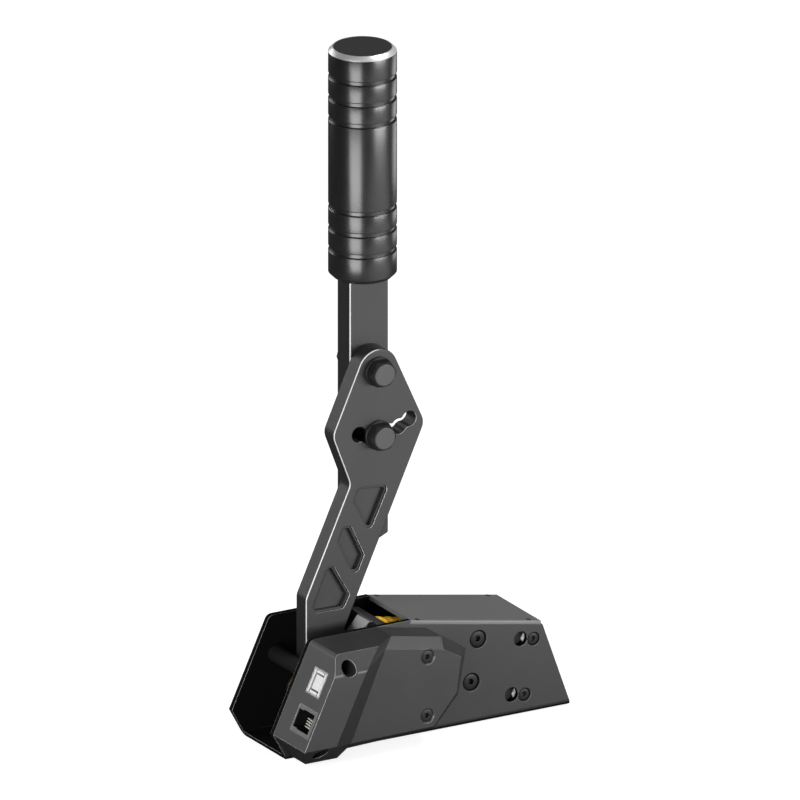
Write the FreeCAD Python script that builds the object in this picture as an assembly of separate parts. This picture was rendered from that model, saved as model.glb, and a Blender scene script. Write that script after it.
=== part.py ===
"""Sim racing handbrake: a pull lever on a folded base that compresses a spring.

Millimetres, +Z up. The modelling frame has X = 0 at the front tip of the base, Y = 0 in its
middle plane and Z = 0 under its floor. The finished parts are moved so that the origin is the
middle of the four base bolts. The electronics side is -Y.
"""
import FreeCAD, Part
import math
import os

# Folded base
BASE_LENGTH = 174.3
BASE_HEIGHT = 62.8
BASE_WIDTH = 45.0
SHEET = 3.0
BEND_R = 3.5
BEND_INNER_R = 0.5
FRONT_SLANT = 25.0
REAR_SLANT = 19.7
TIP_HEIGHT = 15.5
TIP_SETBACK = 8.5
TOP_FRONT_R = 4.0
SHARP_R = 1.0
TOP_BREAK_X = 80.4
TOP_SLOPE = 10.3
BASE_BOLT_MID_X = 91.0
BASE_BOLT_SPACING_X = 80.0
BASE_BOLT_HOLE_R = 3.0
BASE_NUT_SHANK_R = 4.4
BASE_NUT_R = 5.5
BASE_NUT_HEIGHT = 4.0
BASE_NUT_SIDE_GAP = 1.0

# Sloping top cover and its screws
COVER_T = 2.0
COVER_EDGE_R = 1.0
COVER_END_R = 1.5
COVER_SCREW_FRONT_INSET = 4.9
COVER_SCREW_REAR_INSET = 6.6
COVER_SCREW_SIDE_INSET = 2.0
COVER_SCREW_R = 0.8
COVER_SCREW_HEAD_R = 1.5
COVER_SCREW_LENGTH = 6.0
COVER_SCREW_SOCKET = 0.9

# Screw sizes: shank radius, countersunk head radius and hexagon socket across flats
M3_R = 1.5
M3_HEAD_R = 3.0
M3_SOCKET = 2.0
M4_R = 2.0
M4_HEAD_R = 3.75
M4_SOCKET = 2.5
M5_R = 2.5
M5_HEAD_R = 5.0
M5_SOCKET = 3.0
SOCKET_DEPTH_SHARE = 0.55

# Clearances
FIT = 0.04
RUNNING_FIT = 0.06
GAP = 0.3

# How far a cut runs past the piece it cuts
PAST = 1.0

# Pivot of the lever in the base
PIVOT_X = 40.5
PIVOT_Z = 20.6
PIVOT_SHAFT_R = 5.0
BUSH_R = 6.5
BUSH_FLANGE_R = 9.0
BUSH_FLANGE_T = 1.5
SPACER_R = 7.5
CIRCLIP_T = 1.0
CIRCLIP_R = 6.6
CIRCLIP_GROOVE = 0.6
CIRCLIP_OPENING = 3.6
SHAFT_END = 1.2
SHAFT_REACH = 8.1
MAGNET_R = 3.0
MAGNET_T = 2.5
MAGNET_PROUD = 0.5

# Lever arm: circles that its outline runs round
LEVER_T = 10.0
HUB_R = 11.3
NOSE_R = 11.0
NOSE_FILLET_R = 3.0
NOSE_FILLET_BEHIND = 9.617
NOSE_FILLET_ABOVE = 10.178
BOSS_X = 71.4
BOSS_Z = 193.3
BOSS_R = 11.7
LOBE_R = 8.0
REAR_LOBE_X = 90.0
REAR_LOBE_Z = 161.16
FRONT_LOBE_X = 53.5
FRONT_LOBE_Z = 162.42
WAIST_X = 48.82
WAIST_Z = 135.27
WAIST_R = 6.0
KNEE_Z = 76.81
KNEE_R = 5.0
LEVER_EDGE_CHAMFER = 0.5
POCKET_LIP_DEPTH = 0.8
POCKET_LIP_WIDTH = 1.2
POCKET_DEPTH = 3.0
POCKET_CORNER_R = 2.6
POCKETS = (
    ((59.4, 132.5), (56.5, 125.1), (66.2, 106.4), (77.9, 131.0)),
    ((50.5, 113.2), (47.3, 104.8), (55.3, 88.2), (59.4, 86.8), (63.5, 95.6), (55.7, 112.5)),
    ((40.8, 91.5), (32.6, 72.4), (34.1, 69.3), (51.2, 69.0), (55.0, 75.9), (44.5, 94.3)),
)

# Angle slot in the lever, with a round seat for the lower bolt at each setting
SLOT_R = 34.2
SLOT_SEAT_R = 4.2
SLOT_HALF_WIDTH = 3.4
SLOT_SEAT_ANGLES = (-19.0, -9.5, 0.0, 10.5, 21.0, 32.0)

# Handle bar, grip and cap
BAR_WIDTH = 22.2
BAR_T = 13.0
BAR_REAR_X = 83.0
BAR_BOTTOM_Z = 101.3
BAR_BOTTOM_SLANT = 24.0
BAR_TOP_Z = 308.0
BAR_EDGE_CHAMFER = 0.5
GRIP_R = 17.5
GRIP_BOTTOM_Z = 240.1
GRIP_TOP_Z = 363.1
GRIP_BOTTOM_CHAMFER = 2.4
GRIP_TOP_CHAMFER = 2.2
GROOVE_WIDTH = 2.2
GROOVE_DEPTH = 0.8
GROOVE_EDGE_R = 0.35
GROOVE_HEIGHTS = (348.6, 337.1, 325.8, 278.3, 266.9, 255.5)
CAP_R = 14.9
CAP_T = 3.0
CAP_WELL_DEPTH = 16.0
GRIP_BOLT_R = 4.0
GRIP_BOLT_HEAD_R = 6.5
GRIP_BOLT_HEAD_H = 8.0
GRIP_BOLT_LENGTH = 52.0
GRIP_BOLT_SOCKET = 6.0

# Bolts that clamp the bar to the lever
CLAMP_R = 4.0
CLAMP_WAIST_R = 3.2
CLAMP_AF = 13.0
CLAMP_HEAD_H = 5.8
CLAMP_WASHER_R = 7.8
CLAMP_WASHER_T = 1.7
CLAMP_NUT_H = 6.5
CLAMP_THREAD_PROUD = 1.8

# Push rod, along the spring axis from the point above the pivot
AXIS_DEPTH = 21.454
BLOCK_TIP_H = 5.0
BLOCK_HALF_H = 15.8
BLOCK_FLANK_LENGTH = 6.6
BLOCK_LENGTH = 9.0
BLOCK_WIDTH = 12.0
PLATE_SIDE_GAP = 0.7
PLATE_HALF_H = 15.8
PLATE_T = 6.0
SPIGOT_R = 5.5
SPIGOT_LENGTH = 12.0
ROD_R = 8.0
THREAD_R = 6.0
THREAD_LENGTH = 9.6
ROD_WASHER_R = 12.0
ROD_WASHER_T = 1.6
ROD_NUT_AF = 18.0
ROD_NUT_H = 6.6

# Spring round the rod
SPRING_R = 16.0
SPRING_WIRE_R = 2.5
SPRING_TURNS = 6.25
SPRING_CLOSED_PITCH = 5.55
SPRING_END_SINK = 1.1
SPRING_SEAT_GAP = 0.1
SPRING_LENGTH = 40.8

# Guide block behind the spring
GUIDE_T = 12.8
GUIDE_HALF_H = 17.0
GUIDE_SCREW_H = 11.4
GUIDE_SCREW_LENGTH = 11.5
GUIDE_BUSH_R = 10.0

# End block with the rubber stop
TRAVEL = 5.7
PAD_R = 6.5
PAD_T = 3.0
STOP_HEAD_T = 2.4
STOP_SHANK_R = 4.0
STOP_SHANK_LENGTH = 17.0
STOP_NUT_AF = 13.0
STOP_NUT_H = 4.5
END_BLOCK_GAP = 1.0
END_BLOCK_T = 8.4
END_BLOCK_TOP = 15.6
END_BLOCK_FLOOR_GAP = 2.9
END_SCREW_EDGE = 4.0
END_SCREW_LENGTH = 11.0
STANDOFF_AHEAD = 3.55
STANDOFF_AF = 7.0
STANDOFF_SHORT = 1.0
ACCESS_HOLE_R = 3.9

# Front stop pin with its sleeve
STOP_PIN_Z = 42.6
STOP_PIN_R = 3.0
SLEEVE_R = 4.3
SLEEVE_SHORT = 1.5
STOP_PIN_SCREW_LENGTH = 9.0

# Electronics housing on the -Y plate
HOUSING_WALL = 2.0
HOUSING_FLOOR_Z = 3.1
HOUSING_TIP_Z = 15.8
HOUSING_DEPTH = 31.9
HOUSING_SHOULDER_B = 25.1
HOUSING_KNEE_DROP = 9.2
HOUSING_FLOOR_B = 16.0
HOUSING_FLOOR_X = 9.5
HOUSING_EDGE_R = 3.5
PANEL_B = 20.6
PANEL_RIM_B = 15.0
BACK_OPENING = 1.0
BAND_REAR_X = (28.1, 18.7, 36.6, 47.1)
PANEL_RIM = ((60.4, BASE_HEIGHT), (34.5, 6.9), (85.4, 8.6), (99.6, 24.5), (104.0, BASE_HEIGHT - 14.5),
             (89.6, BASE_HEIGHT - 5.6))
PANEL_FACE = ((53.7, BASE_HEIGHT - 4.3), (33.6, 11.3), (82.0, 11.8), (95.4, 27.6),
              (98.1, BASE_HEIGHT - 16.4), (87.9, BASE_HEIGHT - 10.4))
BAND_WALL_SHARE = 1.9
PANEL_SCREWS = ((78.6, BASE_HEIGHT - 13.2), (78.3, 18.1))
PANEL_SCREW_HEAD_R = 4.0
PANEL_BOSS_R = 4.8
DEEP_SCREWS = ((26.8, BASE_HEIGHT - 6.9), (12.6, 11.2))
DEEP_HOLE_R = 4.0
DEEP_BOSS_R = 5.0
DEEP_HEAD_R = 3.5
DEEP_HEAD_H = 4.0
DEEP_SEAT_B = 3.0
SCREW_TIP_SHORT = 0.3

# Circuit board, its spacers and chips
BOARD_B = 10.6
BOARD_T = 1.6
BOARD_OUTLINE = ((20.6, BASE_HEIGHT - 10.3), (5.8, 20.7), (24.0, 18.0), (30.0, 12.0), (70.0, 12.0),
                 (70.0, BASE_HEIGHT - 12.8), (38.0, BASE_HEIGHT - 9.8))
BOARD_CORNER_R = 1.0
SPACER_POST_R = 3.0
BOARD_SCREWS = ((36.0, BASE_HEIGHT - 17.2), (64.0, BASE_HEIGHT - 18.2), (64.0, 16.6), (24.0, 22.1))
PAN_HEAD_R = 2.8
PAN_HEAD_H = 1.8
SENSOR_SIZE = 5.0
SENSOR_T = 1.2
CONTROLLER_SIZE = 10.0
CONTROLLER_T = 1.4
CONTROLLER_X = 52.0
CONTROLLER_Z = 32.0

# Square port: steel shell with an insulator, in the slanted front face
USB_B = (12.6, 25.3)
USB_DOWN = (10.5, 24.1)
USB_DEPTH = 16.2
USB_SHELL_T = 0.8
USB_WALL = 1.3
USB_WELL = 0.9
USB_TONGUE_SHORT = 0.5
USB_RECESS = 8.8

# Modular jack below it
JACK_B = (12.2, 29.8)
JACK_DOWN = (30.8, 44.9)
JACK_DEPTH = 15.2
JACK_FRAME = 1.7
JACK_CAVITY_DEPTH = 12.0
JACK_LATCH_WIDTH = 9.6
JACK_LATCH_WALL = 0.6
JACK_LATCH_DEPTH = 3.2
CONTACT_COUNT = 4
CONTACT_PITCH = 1.27
CONTACT_WIDTH = 0.5
CONTACT_RISE = 4.4
CONTACT_START = 1.0
PORT_FIT = 0.1

INNER_Y = BASE_WIDTH / 2 - SHEET
OUTER_Y = BASE_WIDTH / 2
Y_AXIS = FreeCAD.Vector(0, 1, 0)
Z_AXIS = FreeCAD.Vector(0, 0, 1)
ORIGIN = FreeCAD.Vector(0, 0, 0)


def vec(x, y, z):
    return FreeCAD.Vector(x, y, z)


def tan(degrees):
    return math.tan(math.radians(degrees))


def sin(degrees):
    return math.sin(math.radians(degrees))


def cos(degrees):
    return math.cos(math.radians(degrees))


# Outlines in the XZ plane
def belt_face(circles):
    """A face whose edge runs round circles (x, z, r, turn), with a straight tangent between each two.

    turn is 1 where the edge goes counter-clockwise round the circle, -1 where it goes clockwise.
    """
    count = len(circles)
    tangents = []
    for i in range(count):
        x0, z0, r0, turn0 = circles[i]
        x1, z1, r1, turn1 = circles[(i + 1) % count]
        across = turn0 * r0 - turn1 * r1
        length = math.hypot(x1 - x0, z1 - z0)
        along = math.sqrt(length ** 2 - across ** 2)
        heading = math.atan2(z1 - z0, x1 - x0) + math.atan2(across, along)
        side = (math.sin(heading), -math.cos(heading))
        start = (x0 + turn0 * r0 * side[0], z0 + turn0 * r0 * side[1])
        end = (x1 + turn1 * r1 * side[0], z1 + turn1 * r1 * side[1])
        tangents.append((start, end))
    edges = []
    for i in range(count):
        x, z, r, turn = circles[i]
        entry = tangents[i - 1][1]
        leave, arrive = tangents[i]
        if r > 0:
            first = math.atan2(entry[1] - z, entry[0] - x)
            last = math.atan2(leave[1] - z, leave[0] - x)
            swept = (turn * (last - first)) % (2 * math.pi)
            middle = first + turn * swept / 2
            mid = vec(x + r * math.cos(middle), 0, z + r * math.sin(middle))
            edges.append(Part.Arc(vec(entry[0], 0, entry[1]), mid, vec(leave[0], 0, leave[1])).toShape())
        edges.append(Part.makeLine(vec(leave[0], 0, leave[1]), vec(arrive[0], 0, arrive[1])))
    return Part.Face(Part.Wire(edges))


def corner_circles(corners):
    """The circles that round the corners (x, z, r) of a counter-clockwise outline."""
    circles = []
    for i, (x, z, r) in enumerate(corners):
        before = corners[i - 1]
        after = corners[(i + 1) % len(corners)]
        back = math.atan2(before[1] - z, before[0] - x)
        ahead = math.atan2(after[1] - z, after[0] - x)
        inside = (back - ahead) % (2 * math.pi)
        turn = 1 if inside < math.pi else -1
        bisector = ahead + inside / 2 + (0 if turn > 0 else math.pi)
        reach = r / abs(math.sin(inside / 2))
        circles.append((x + reach * math.cos(bisector), z + reach * math.sin(bisector), r, turn))
    return circles


def corner_face(corners):
    return belt_face(corner_circles(corners))


def slab(face, y_from, y_to):
    """A face in the XZ plane made solid from one Y to another."""
    solid = face.extrude(vec(0, y_to - y_from, 0))
    solid.translate(vec(0, y_from, 0))
    return solid


def inset(points, distance):
    """A counter-clockwise outline of points, moved inwards by a distance."""
    moved = []
    for i, (x, z) in enumerate(points):
        bx, bz = points[i - 1]
        ax, az = points[(i + 1) % len(points)]
        d0 = math.hypot(x - bx, z - bz)
        d1 = math.hypot(ax - x, az - z)
        n0 = (-(z - bz) / d0, (x - bx) / d0)
        n1 = (-(az - z) / d1, (ax - x) / d1)
        share = distance / (1 + n0[0] * n1[0] + n0[1] * n1[1])
        moved.append((x + share * (n0[0] + n1[0]), z + share * (n0[1] + n1[1])))
    return moved


def rounded(points, r):
    return [(x, z, r) for x, z in points]


# Turned and drilled shapes
def pin_y(x, z, r, y_from, y_to):
    return Part.makeCylinder(r, y_to - y_from, vec(x, y_from, z), Y_AXIS)


def pin_z(x, y, r, z_from, z_to):
    return Part.makeCylinder(r, z_to - z_from, vec(x, y, z_from), Z_AXIS)


def rod_s(r, s_from, s_to, h=0.0, y=0.0):
    """A cylinder along the spring axis."""
    return Part.makeCylinder(r, s_to - s_from, vec(s_from, y, h), vec(1, 0, 0))


def turned(profile, x, y, z=0.0):
    """A solid turned about a vertical axis from its (radius, height) outline."""
    points = [vec(r, 0, height) for r, height in profile]
    face = Part.Face(Part.makePolygon(points + points[:1]))
    solid = face.revolve(ORIGIN, Z_AXIS, 360)
    solid.translate(vec(x, y, z))
    return solid


def hexagon(across_flats, z_from, z_to):
    corner_r = across_flats / math.sqrt(3)
    points = [vec(corner_r * cos(60 * i), corner_r * sin(60 * i), z_from) for i in range(7)]
    return Part.Face(Part.makePolygon(points)).extrude(vec(0, 0, z_to - z_from))


def flat_screw(shank_r, head_r, length, socket, grow=0.0):
    """A countersunk screw standing on its tip, with the top of its head at Z = 0."""
    cone_end = shank_r - head_r
    outline = [(0, 0), (head_r + grow, 0), (shank_r + grow, cone_end),
               (shank_r + grow, -length), (0, -length)]
    body = turned(outline, 0, 0)
    if socket:
        depth = head_r * SOCKET_DEPTH_SHARE
        body = body.cut(hexagon(socket, -depth, PAST))
    return body


def facing(shape, x, y, z, side):
    """A shape whose +Z end is turned to look along Y to one side (-1 or 1), at a point."""
    placed = shape.copy()
    placed.rotate(ORIGIN, vec(1, 0, 0), -90 * side)
    placed.translate(vec(x, y, z))
    return placed


def on_slope(shape):
    """A shape moved from the spring axis frame (s, y, h) to the base's frame."""
    placed = shape.copy()
    placed.rotate(ORIGIN, Y_AXIS, TOP_SLOPE)
    placed.translate(vec(NOSE_X, 0, NOSE_Z))
    return placed


def slope_point(s, h):
    """The X and Z of a point given along and above the spring axis."""
    return (NOSE_X + s * cos(TOP_SLOPE) + h * sin(TOP_SLOPE),
            NOSE_Z - s * sin(TOP_SLOPE) + h * cos(TOP_SLOPE))


def fused(shapes):
    return shapes[0].fuse(shapes[1:]).removeSplitter()


def outward(b):
    """The Y of a distance outwards from the -Y plate."""
    return -OUTER_Y - b


# Places that follow from the driving sizes
PLATE_HALF_W = INNER_Y - PLATE_SIDE_GAP
BASE_BOLT_SPACING_Y = 2 * (INNER_Y - BASE_NUT_R - BASE_NUT_SIDE_GAP)
ROD_HEIGHT = ((TOP_BREAK_X - PIVOT_X) * sin(TOP_SLOPE) + (BASE_HEIGHT - PIVOT_Z) * cos(TOP_SLOPE)
              - AXIS_DEPTH)
NOSE_X = PIVOT_X + ROD_HEIGHT * sin(TOP_SLOPE)
NOSE_Z = PIVOT_Z + ROD_HEIGHT * cos(TOP_SLOPE)
COVER_FRONT_S = (TOP_BREAK_X - NOSE_X) * cos(TOP_SLOPE) - (BASE_HEIGHT - NOSE_Z) * sin(TOP_SLOPE)
TOP_FRONT_X = (BASE_HEIGHT - TIP_HEIGHT) * tan(FRONT_SLANT)
TAIL_RUN = BASE_LENGTH - BASE_HEIGHT * tan(REAR_SLANT) - TOP_BREAK_X
TAIL_X = TOP_BREAK_X + TAIL_RUN / (1 - tan(REAR_SLANT) * tan(TOP_SLOPE))
TAIL_Z = BASE_HEIGHT - (TAIL_X - TOP_BREAK_X) * tan(TOP_SLOPE)
COVER_END_S = COVER_FRONT_S + (TAIL_X - TOP_BREAK_X) / cos(TOP_SLOPE)

BLOCK_S = NOSE_R + GAP
PLATE_S = BLOCK_S + BLOCK_LENGTH
PLATE_BACK_S = PLATE_S + PLATE_T
SPRING_S = PLATE_BACK_S + SPRING_SEAT_GAP
SPRING_END_S = SPRING_S + SPRING_LENGTH
GUIDE_S = SPRING_END_S + SPRING_SEAT_GAP
GUIDE_BACK_S = GUIDE_S + GUIDE_T
SHOULDER_S = GUIDE_BACK_S + GAP
ROD_NUT_S = SHOULDER_S + ROD_WASHER_T
ROD_END_S = SHOULDER_S + THREAD_LENGTH
PAD_S = ROD_END_S + TRAVEL + GAP
STOP_HEAD_S = PAD_S + PAD_T
STOP_SHANK_S = STOP_HEAD_S + STOP_HEAD_T
END_BLOCK_S = STOP_SHANK_S + END_BLOCK_GAP
END_BLOCK_BACK_S = END_BLOCK_S + END_BLOCK_T
END_SCREW_S = END_BLOCK_S + END_BLOCK_T / 2
STANDOFF_S = END_BLOCK_S - STANDOFF_AHEAD
END_BLOCK_FOOT_Z = SHEET + END_BLOCK_FLOOR_GAP
END_BLOCK_BOTTOM = (END_BLOCK_BACK_S * sin(TOP_SLOPE) + END_BLOCK_FOOT_Z - NOSE_Z) / cos(TOP_SLOPE)
END_HEIGHTS = (END_BLOCK_TOP - END_SCREW_EDGE, END_BLOCK_BOTTOM + END_SCREW_EDGE)
HOUSING_KNEE_Z = BASE_HEIGHT - HOUSING_KNEE_DROP

GUIDE_SCREW_PLACES = [slope_point(GUIDE_S + GUIDE_T / 2, side * GUIDE_SCREW_H) for side in (1, -1)]
END_SCREW_PLACES = [slope_point(END_SCREW_S, h) for h in END_HEIGHTS]
STANDOFF_PLACES = [slope_point(STANDOFF_S, h) for h in END_HEIGHTS]
STOP_PIN_X = PIVOT_X - HUB_R - GAP - SLEEVE_R
BASE_BOLTS = [(BASE_BOLT_MID_X + i * BASE_BOLT_SPACING_X / 2, j * BASE_BOLT_SPACING_Y / 2)
              for i in (-1, 1) for j in (-1, 1)]
BAR_FRONT_X = BAR_REAR_X - BAR_WIDTH
BAR_MID_X = BAR_REAR_X - BAR_WIDTH / 2
BAR_Y = LEVER_T / 2 + 2 * FIT
BAR_MID_Y = BAR_Y + BAR_T / 2
BOLT_SPOTS = ((BOSS_X, BOSS_Z, CLAMP_R), (BOSS_X, BOSS_Z - SLOT_R, CLAMP_WAIST_R))


# Base
def base_side():
    """Side outline of the base up to the top of the cover."""
    return [(TIP_SETBACK, 0), (BASE_LENGTH, 0), (TAIL_X, TAIL_Z), (TOP_BREAK_X, BASE_HEIGHT),
            (TOP_FRONT_X, BASE_HEIGHT), (0, TIP_HEIGHT)]


def make_chassis():
    half = BASE_WIDTH / 2
    radii = (SHARP_R, SHARP_R, COVER_END_R, 0, TOP_FRONT_R, SHARP_R)
    corners = [(x, z, r) for (x, z), r in zip(base_side(), radii)]
    side = slab(corner_face(corners), -half, half)
    outer = [(-half, 0, BEND_R), (half, 0, BEND_R), (half, BASE_HEIGHT, 0), (-half, BASE_HEIGHT, 0)]
    inner = [(-half + SHEET, SHEET, BEND_INNER_R), (half - SHEET, SHEET, BEND_INNER_R),
             (half - SHEET, 2 * BASE_HEIGHT, 0), (-half + SHEET, 2 * BASE_HEIGHT, 0)]
    section = slab(corner_face(outer), -PAST, BASE_LENGTH + PAST)
    trough = slab(corner_face(inner), -2 * PAST, BASE_LENGTH + 2 * PAST)
    sheet = section.cut(trough)
    sheet.rotate(ORIGIN, Z_AXIS, -90)
    body = side.common(sheet)
    length = COVER_END_S - COVER_FRONT_S
    cover_room = Part.makeBox(length * 2, 2 * BASE_WIDTH, 2 * COVER_T,
                              vec(COVER_FRONT_S, -BASE_WIDTH, AXIS_DEPTH - COVER_T))
    body = body.cut(on_slope(cover_room))
    holes = [pin_z(x, y, BASE_NUT_SHANK_R + FIT, -PAST, SHEET + PAST) for x, y in BASE_BOLTS]
    holes.append(pin_y(PIVOT_X, PIVOT_Z, BUSH_R + FIT, -half - PAST, half + PAST))
    for side_sign in (-1, 1):
        face_y = side_sign * half
        for x, z in GUIDE_SCREW_PLACES:
            hole = flat_screw(M5_R, M5_HEAD_R, 2 * SHEET, 0, FIT)
            holes.append(facing(hole, x, face_y, z, side_sign))
        for x, z in END_SCREW_PLACES:
            hole = flat_screw(M4_R, M4_HEAD_R, 2 * SHEET, 0, FIT)
            holes.append(facing(hole, x, face_y, z, side_sign))
        hole = flat_screw(M3_R, M3_HEAD_R, 2 * SHEET, 0, FIT)
        holes.append(facing(hole, STOP_PIN_X, face_y, STOP_PIN_Z, side_sign))
    for x, z in STANDOFF_PLACES:
        holes.append(pin_y(x, z, ACCESS_HOLE_R, -half - PAST, -INNER_Y + PAST))
        hole = flat_screw(M4_R, M4_HEAD_R, 2 * SHEET, 0, FIT)
        holes.append(facing(hole, x, half, z, 1))
    for x, z in PANEL_SCREWS:
        holes.append(pin_y(x, z, M4_R + FIT, -half - PAST, -INNER_Y + PAST))
    for x, z in DEEP_SCREWS + BOARD_SCREWS:
        holes.append(pin_y(x, z, M3_R + FIT, -half - PAST, -INNER_Y + PAST))
    body = body.cut(holes)
    cuts = cover_screws(COVER_SCREW_R + FIT, COVER_SCREW_LENGTH + PAST)
    return body.cut([on_slope(cut) for cut in cuts])


def cover_screws(shank_r, length):
    """The four cover screws, or the holes for them, in the spring axis frame."""
    screws = []
    for s in (COVER_FRONT_S + COVER_SCREW_FRONT_INSET, COVER_END_S - COVER_SCREW_REAR_INSET):
        for side in (-1, 1):
            grow = shank_r - COVER_SCREW_R
            socket = 0 if grow else COVER_SCREW_SOCKET
            screw = flat_screw(COVER_SCREW_R, COVER_SCREW_HEAD_R, length, socket, grow)
            screw.translate(vec(s, side * (OUTER_Y - COVER_SCREW_SIDE_INSET), AXIS_DEPTH))
            screws.append(screw)
    return screws


def make_top_cover():
    half = BASE_WIDTH / 2
    corners = [(-half, AXIS_DEPTH - COVER_T, 0), (half, AXIS_DEPTH - COVER_T, 0),
               (half, AXIS_DEPTH, COVER_EDGE_R), (-half, AXIS_DEPTH, COVER_EDGE_R)]
    plate = slab(corner_face(corners), COVER_FRONT_S, COVER_END_S)
    plate.rotate(ORIGIN, Z_AXIS, -90)
    plate = plate.cut(cover_screws(COVER_SCREW_R + FIT, COVER_SCREW_LENGTH))
    plate = on_slope(plate)
    radii = (0, 0, COVER_END_R, 0, 0, 0)
    corners = [(x, z, r) for (x, z), r in zip(base_side(), radii)]
    return plate.common(slab(corner_face(corners), -half, half))


def make_base_nuts():
    nuts = []
    for x, y in BASE_BOLTS:
        nut = pin_z(x, y, BASE_NUT_R, SHEET, SHEET + BASE_NUT_HEIGHT)
        nut = nut.fuse(pin_z(x, y, BASE_NUT_SHANK_R, 0, SHEET))
        nuts.append(nut.cut(pin_z(x, y, BASE_BOLT_HOLE_R, -PAST, SHEET + 2 * BASE_NUT_HEIGHT)))
    return nuts


# Pivot
def make_pivot():
    x, z = PIVOT_X, PIVOT_Z
    far_end = OUTER_Y + GAP + CIRCLIP_T + SHAFT_END
    near_end = outward(SHAFT_REACH)
    clip_starts = (OUTER_Y + GAP, -OUTER_Y - GAP - CIRCLIP_T)
    shaft = pin_y(x, z, PIVOT_SHAFT_R, near_end, far_end)
    magnet_seat = near_end + MAGNET_T - MAGNET_PROUD
    shaft = shaft.cut(pin_y(x, z, MAGNET_R + FIT, near_end - PAST, magnet_seat))
    clips = []
    bushes = []
    spacers = []
    flange_in = INNER_Y - BUSH_FLANGE_T
    groove_r = PIVOT_SHAFT_R - CIRCLIP_GROOVE
    for side, clip_y in zip((1, -1), clip_starts):
        groove = pin_y(x, z, PIVOT_SHAFT_R + PAST, clip_y - FIT, clip_y + CIRCLIP_T + FIT)
        groove = groove.cut(pin_y(x, z, groove_r, clip_y - PAST, clip_y + CIRCLIP_T + PAST))
        shaft = shaft.cut(groove)
        clip = pin_y(x, z, CIRCLIP_R, clip_y, clip_y + CIRCLIP_T)
        clip = clip.cut(pin_y(x, z, groove_r + FIT, clip_y - PAST, clip_y + CIRCLIP_T + PAST))
        mouth = Part.makeBox(CIRCLIP_OPENING, 4 * CIRCLIP_T, 2 * CIRCLIP_R,
                             vec(x - CIRCLIP_OPENING / 2, clip_y - CIRCLIP_T, z))
        clips.append(clip.cut(mouth))
        body_ends = sorted((side * flange_in, side * OUTER_Y))
        flange_ends = sorted((side * flange_in, side * INNER_Y))
        bush = pin_y(x, z, BUSH_R, body_ends[0], body_ends[1])
        bush = bush.fuse(pin_y(x, z, BUSH_FLANGE_R, flange_ends[0], flange_ends[1]))
        bushes.append(bush.cut(pin_y(x, z, PIVOT_SHAFT_R + RUNNING_FIT, -BASE_WIDTH, BASE_WIDTH)))
        ends = sorted((side * LEVER_T / 2, side * (flange_in - GAP)))
        spacer = pin_y(x, z, SPACER_R, ends[0], ends[1])
        spacers.append(spacer.cut(pin_y(x, z, PIVOT_SHAFT_R + FIT, -BASE_WIDTH, BASE_WIDTH)))
    magnet = pin_y(x, z, MAGNET_R, near_end - MAGNET_PROUD, magnet_seat)
    return shaft, magnet, clips, bushes, spacers


# Lever
def make_lever_arm():
    circles = [(PIVOT_X, PIVOT_Z, HUB_R, 1), (NOSE_X, NOSE_Z, NOSE_R, 1),
               (NOSE_X + NOSE_FILLET_BEHIND, NOSE_Z + NOSE_FILLET_ABOVE, NOSE_FILLET_R, -1),
               (REAR_LOBE_X, REAR_LOBE_Z, LOBE_R, 1), (BOSS_X, BOSS_Z, BOSS_R, 1),
               (FRONT_LOBE_X, FRONT_LOBE_Z, LOBE_R, 1), (WAIST_X, WAIST_Z, WAIST_R, -1),
               (PIVOT_X - HUB_R + KNEE_R, KNEE_Z, KNEE_R, 1)]
    half = LEVER_T / 2
    arm = slab(belt_face(circles), -half, half)
    rims = [edge for edge in arm.Edges if edge.BoundBox.YLength < FIT]
    arm = arm.makeChamfer(LEVER_EDGE_CHAMFER, rims)
    cuts = [pin_y(PIVOT_X, PIVOT_Z, PIVOT_SHAFT_R + FIT, -LEVER_T, LEVER_T),
            pin_y(BOSS_X, BOSS_Z, CLAMP_R + FIT, -LEVER_T, LEVER_T)]
    cuts.append(angle_slot())
    for points in POCKETS:
        lip = corner_face(rounded(points, POCKET_CORNER_R))
        floor_points = inset(points, POCKET_LIP_WIDTH)
        floor = corner_face(rounded(floor_points, POCKET_CORNER_R - POCKET_LIP_WIDTH))
        for side in (-1, 1):
            for face, depth in ((lip, POCKET_LIP_DEPTH), (floor, POCKET_DEPTH)):
                ends = sorted((side * (half - depth), side * (half + PAST)))
                cuts.append(slab(face, ends[0], ends[1]))
    return arm.cut(cuts)


def angle_slot():
    """The curved slot about the upper bolt, with its round seats."""
    first, last = SLOT_SEAT_ANGLES[0], SLOT_SEAT_ANGLES[-1]
    corners = []
    for r, angles in ((SLOT_R + SLOT_HALF_WIDTH, (first, (first + last) / 2, last)),
                      (SLOT_R - SLOT_HALF_WIDTH, (last, (first + last) / 2, first))):
        corners.append([vec(BOSS_X + r * sin(a), 0, BOSS_Z - r * cos(a)) for a in angles])
    outer, inner = corners
    edges = [Part.Arc(*outer).toShape(), Part.makeLine(outer[2], inner[0]),
             Part.Arc(*inner).toShape(), Part.makeLine(inner[2], outer[0])]
    pieces = [slab(Part.Face(Part.Wire(edges)), -LEVER_T, LEVER_T)]
    for angle in SLOT_SEAT_ANGLES:
        pieces.append(pin_y(BOSS_X + SLOT_R * sin(angle), BOSS_Z - SLOT_R * cos(angle),
                            SLOT_SEAT_R, -LEVER_T, LEVER_T))
    return fused(pieces)


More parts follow.
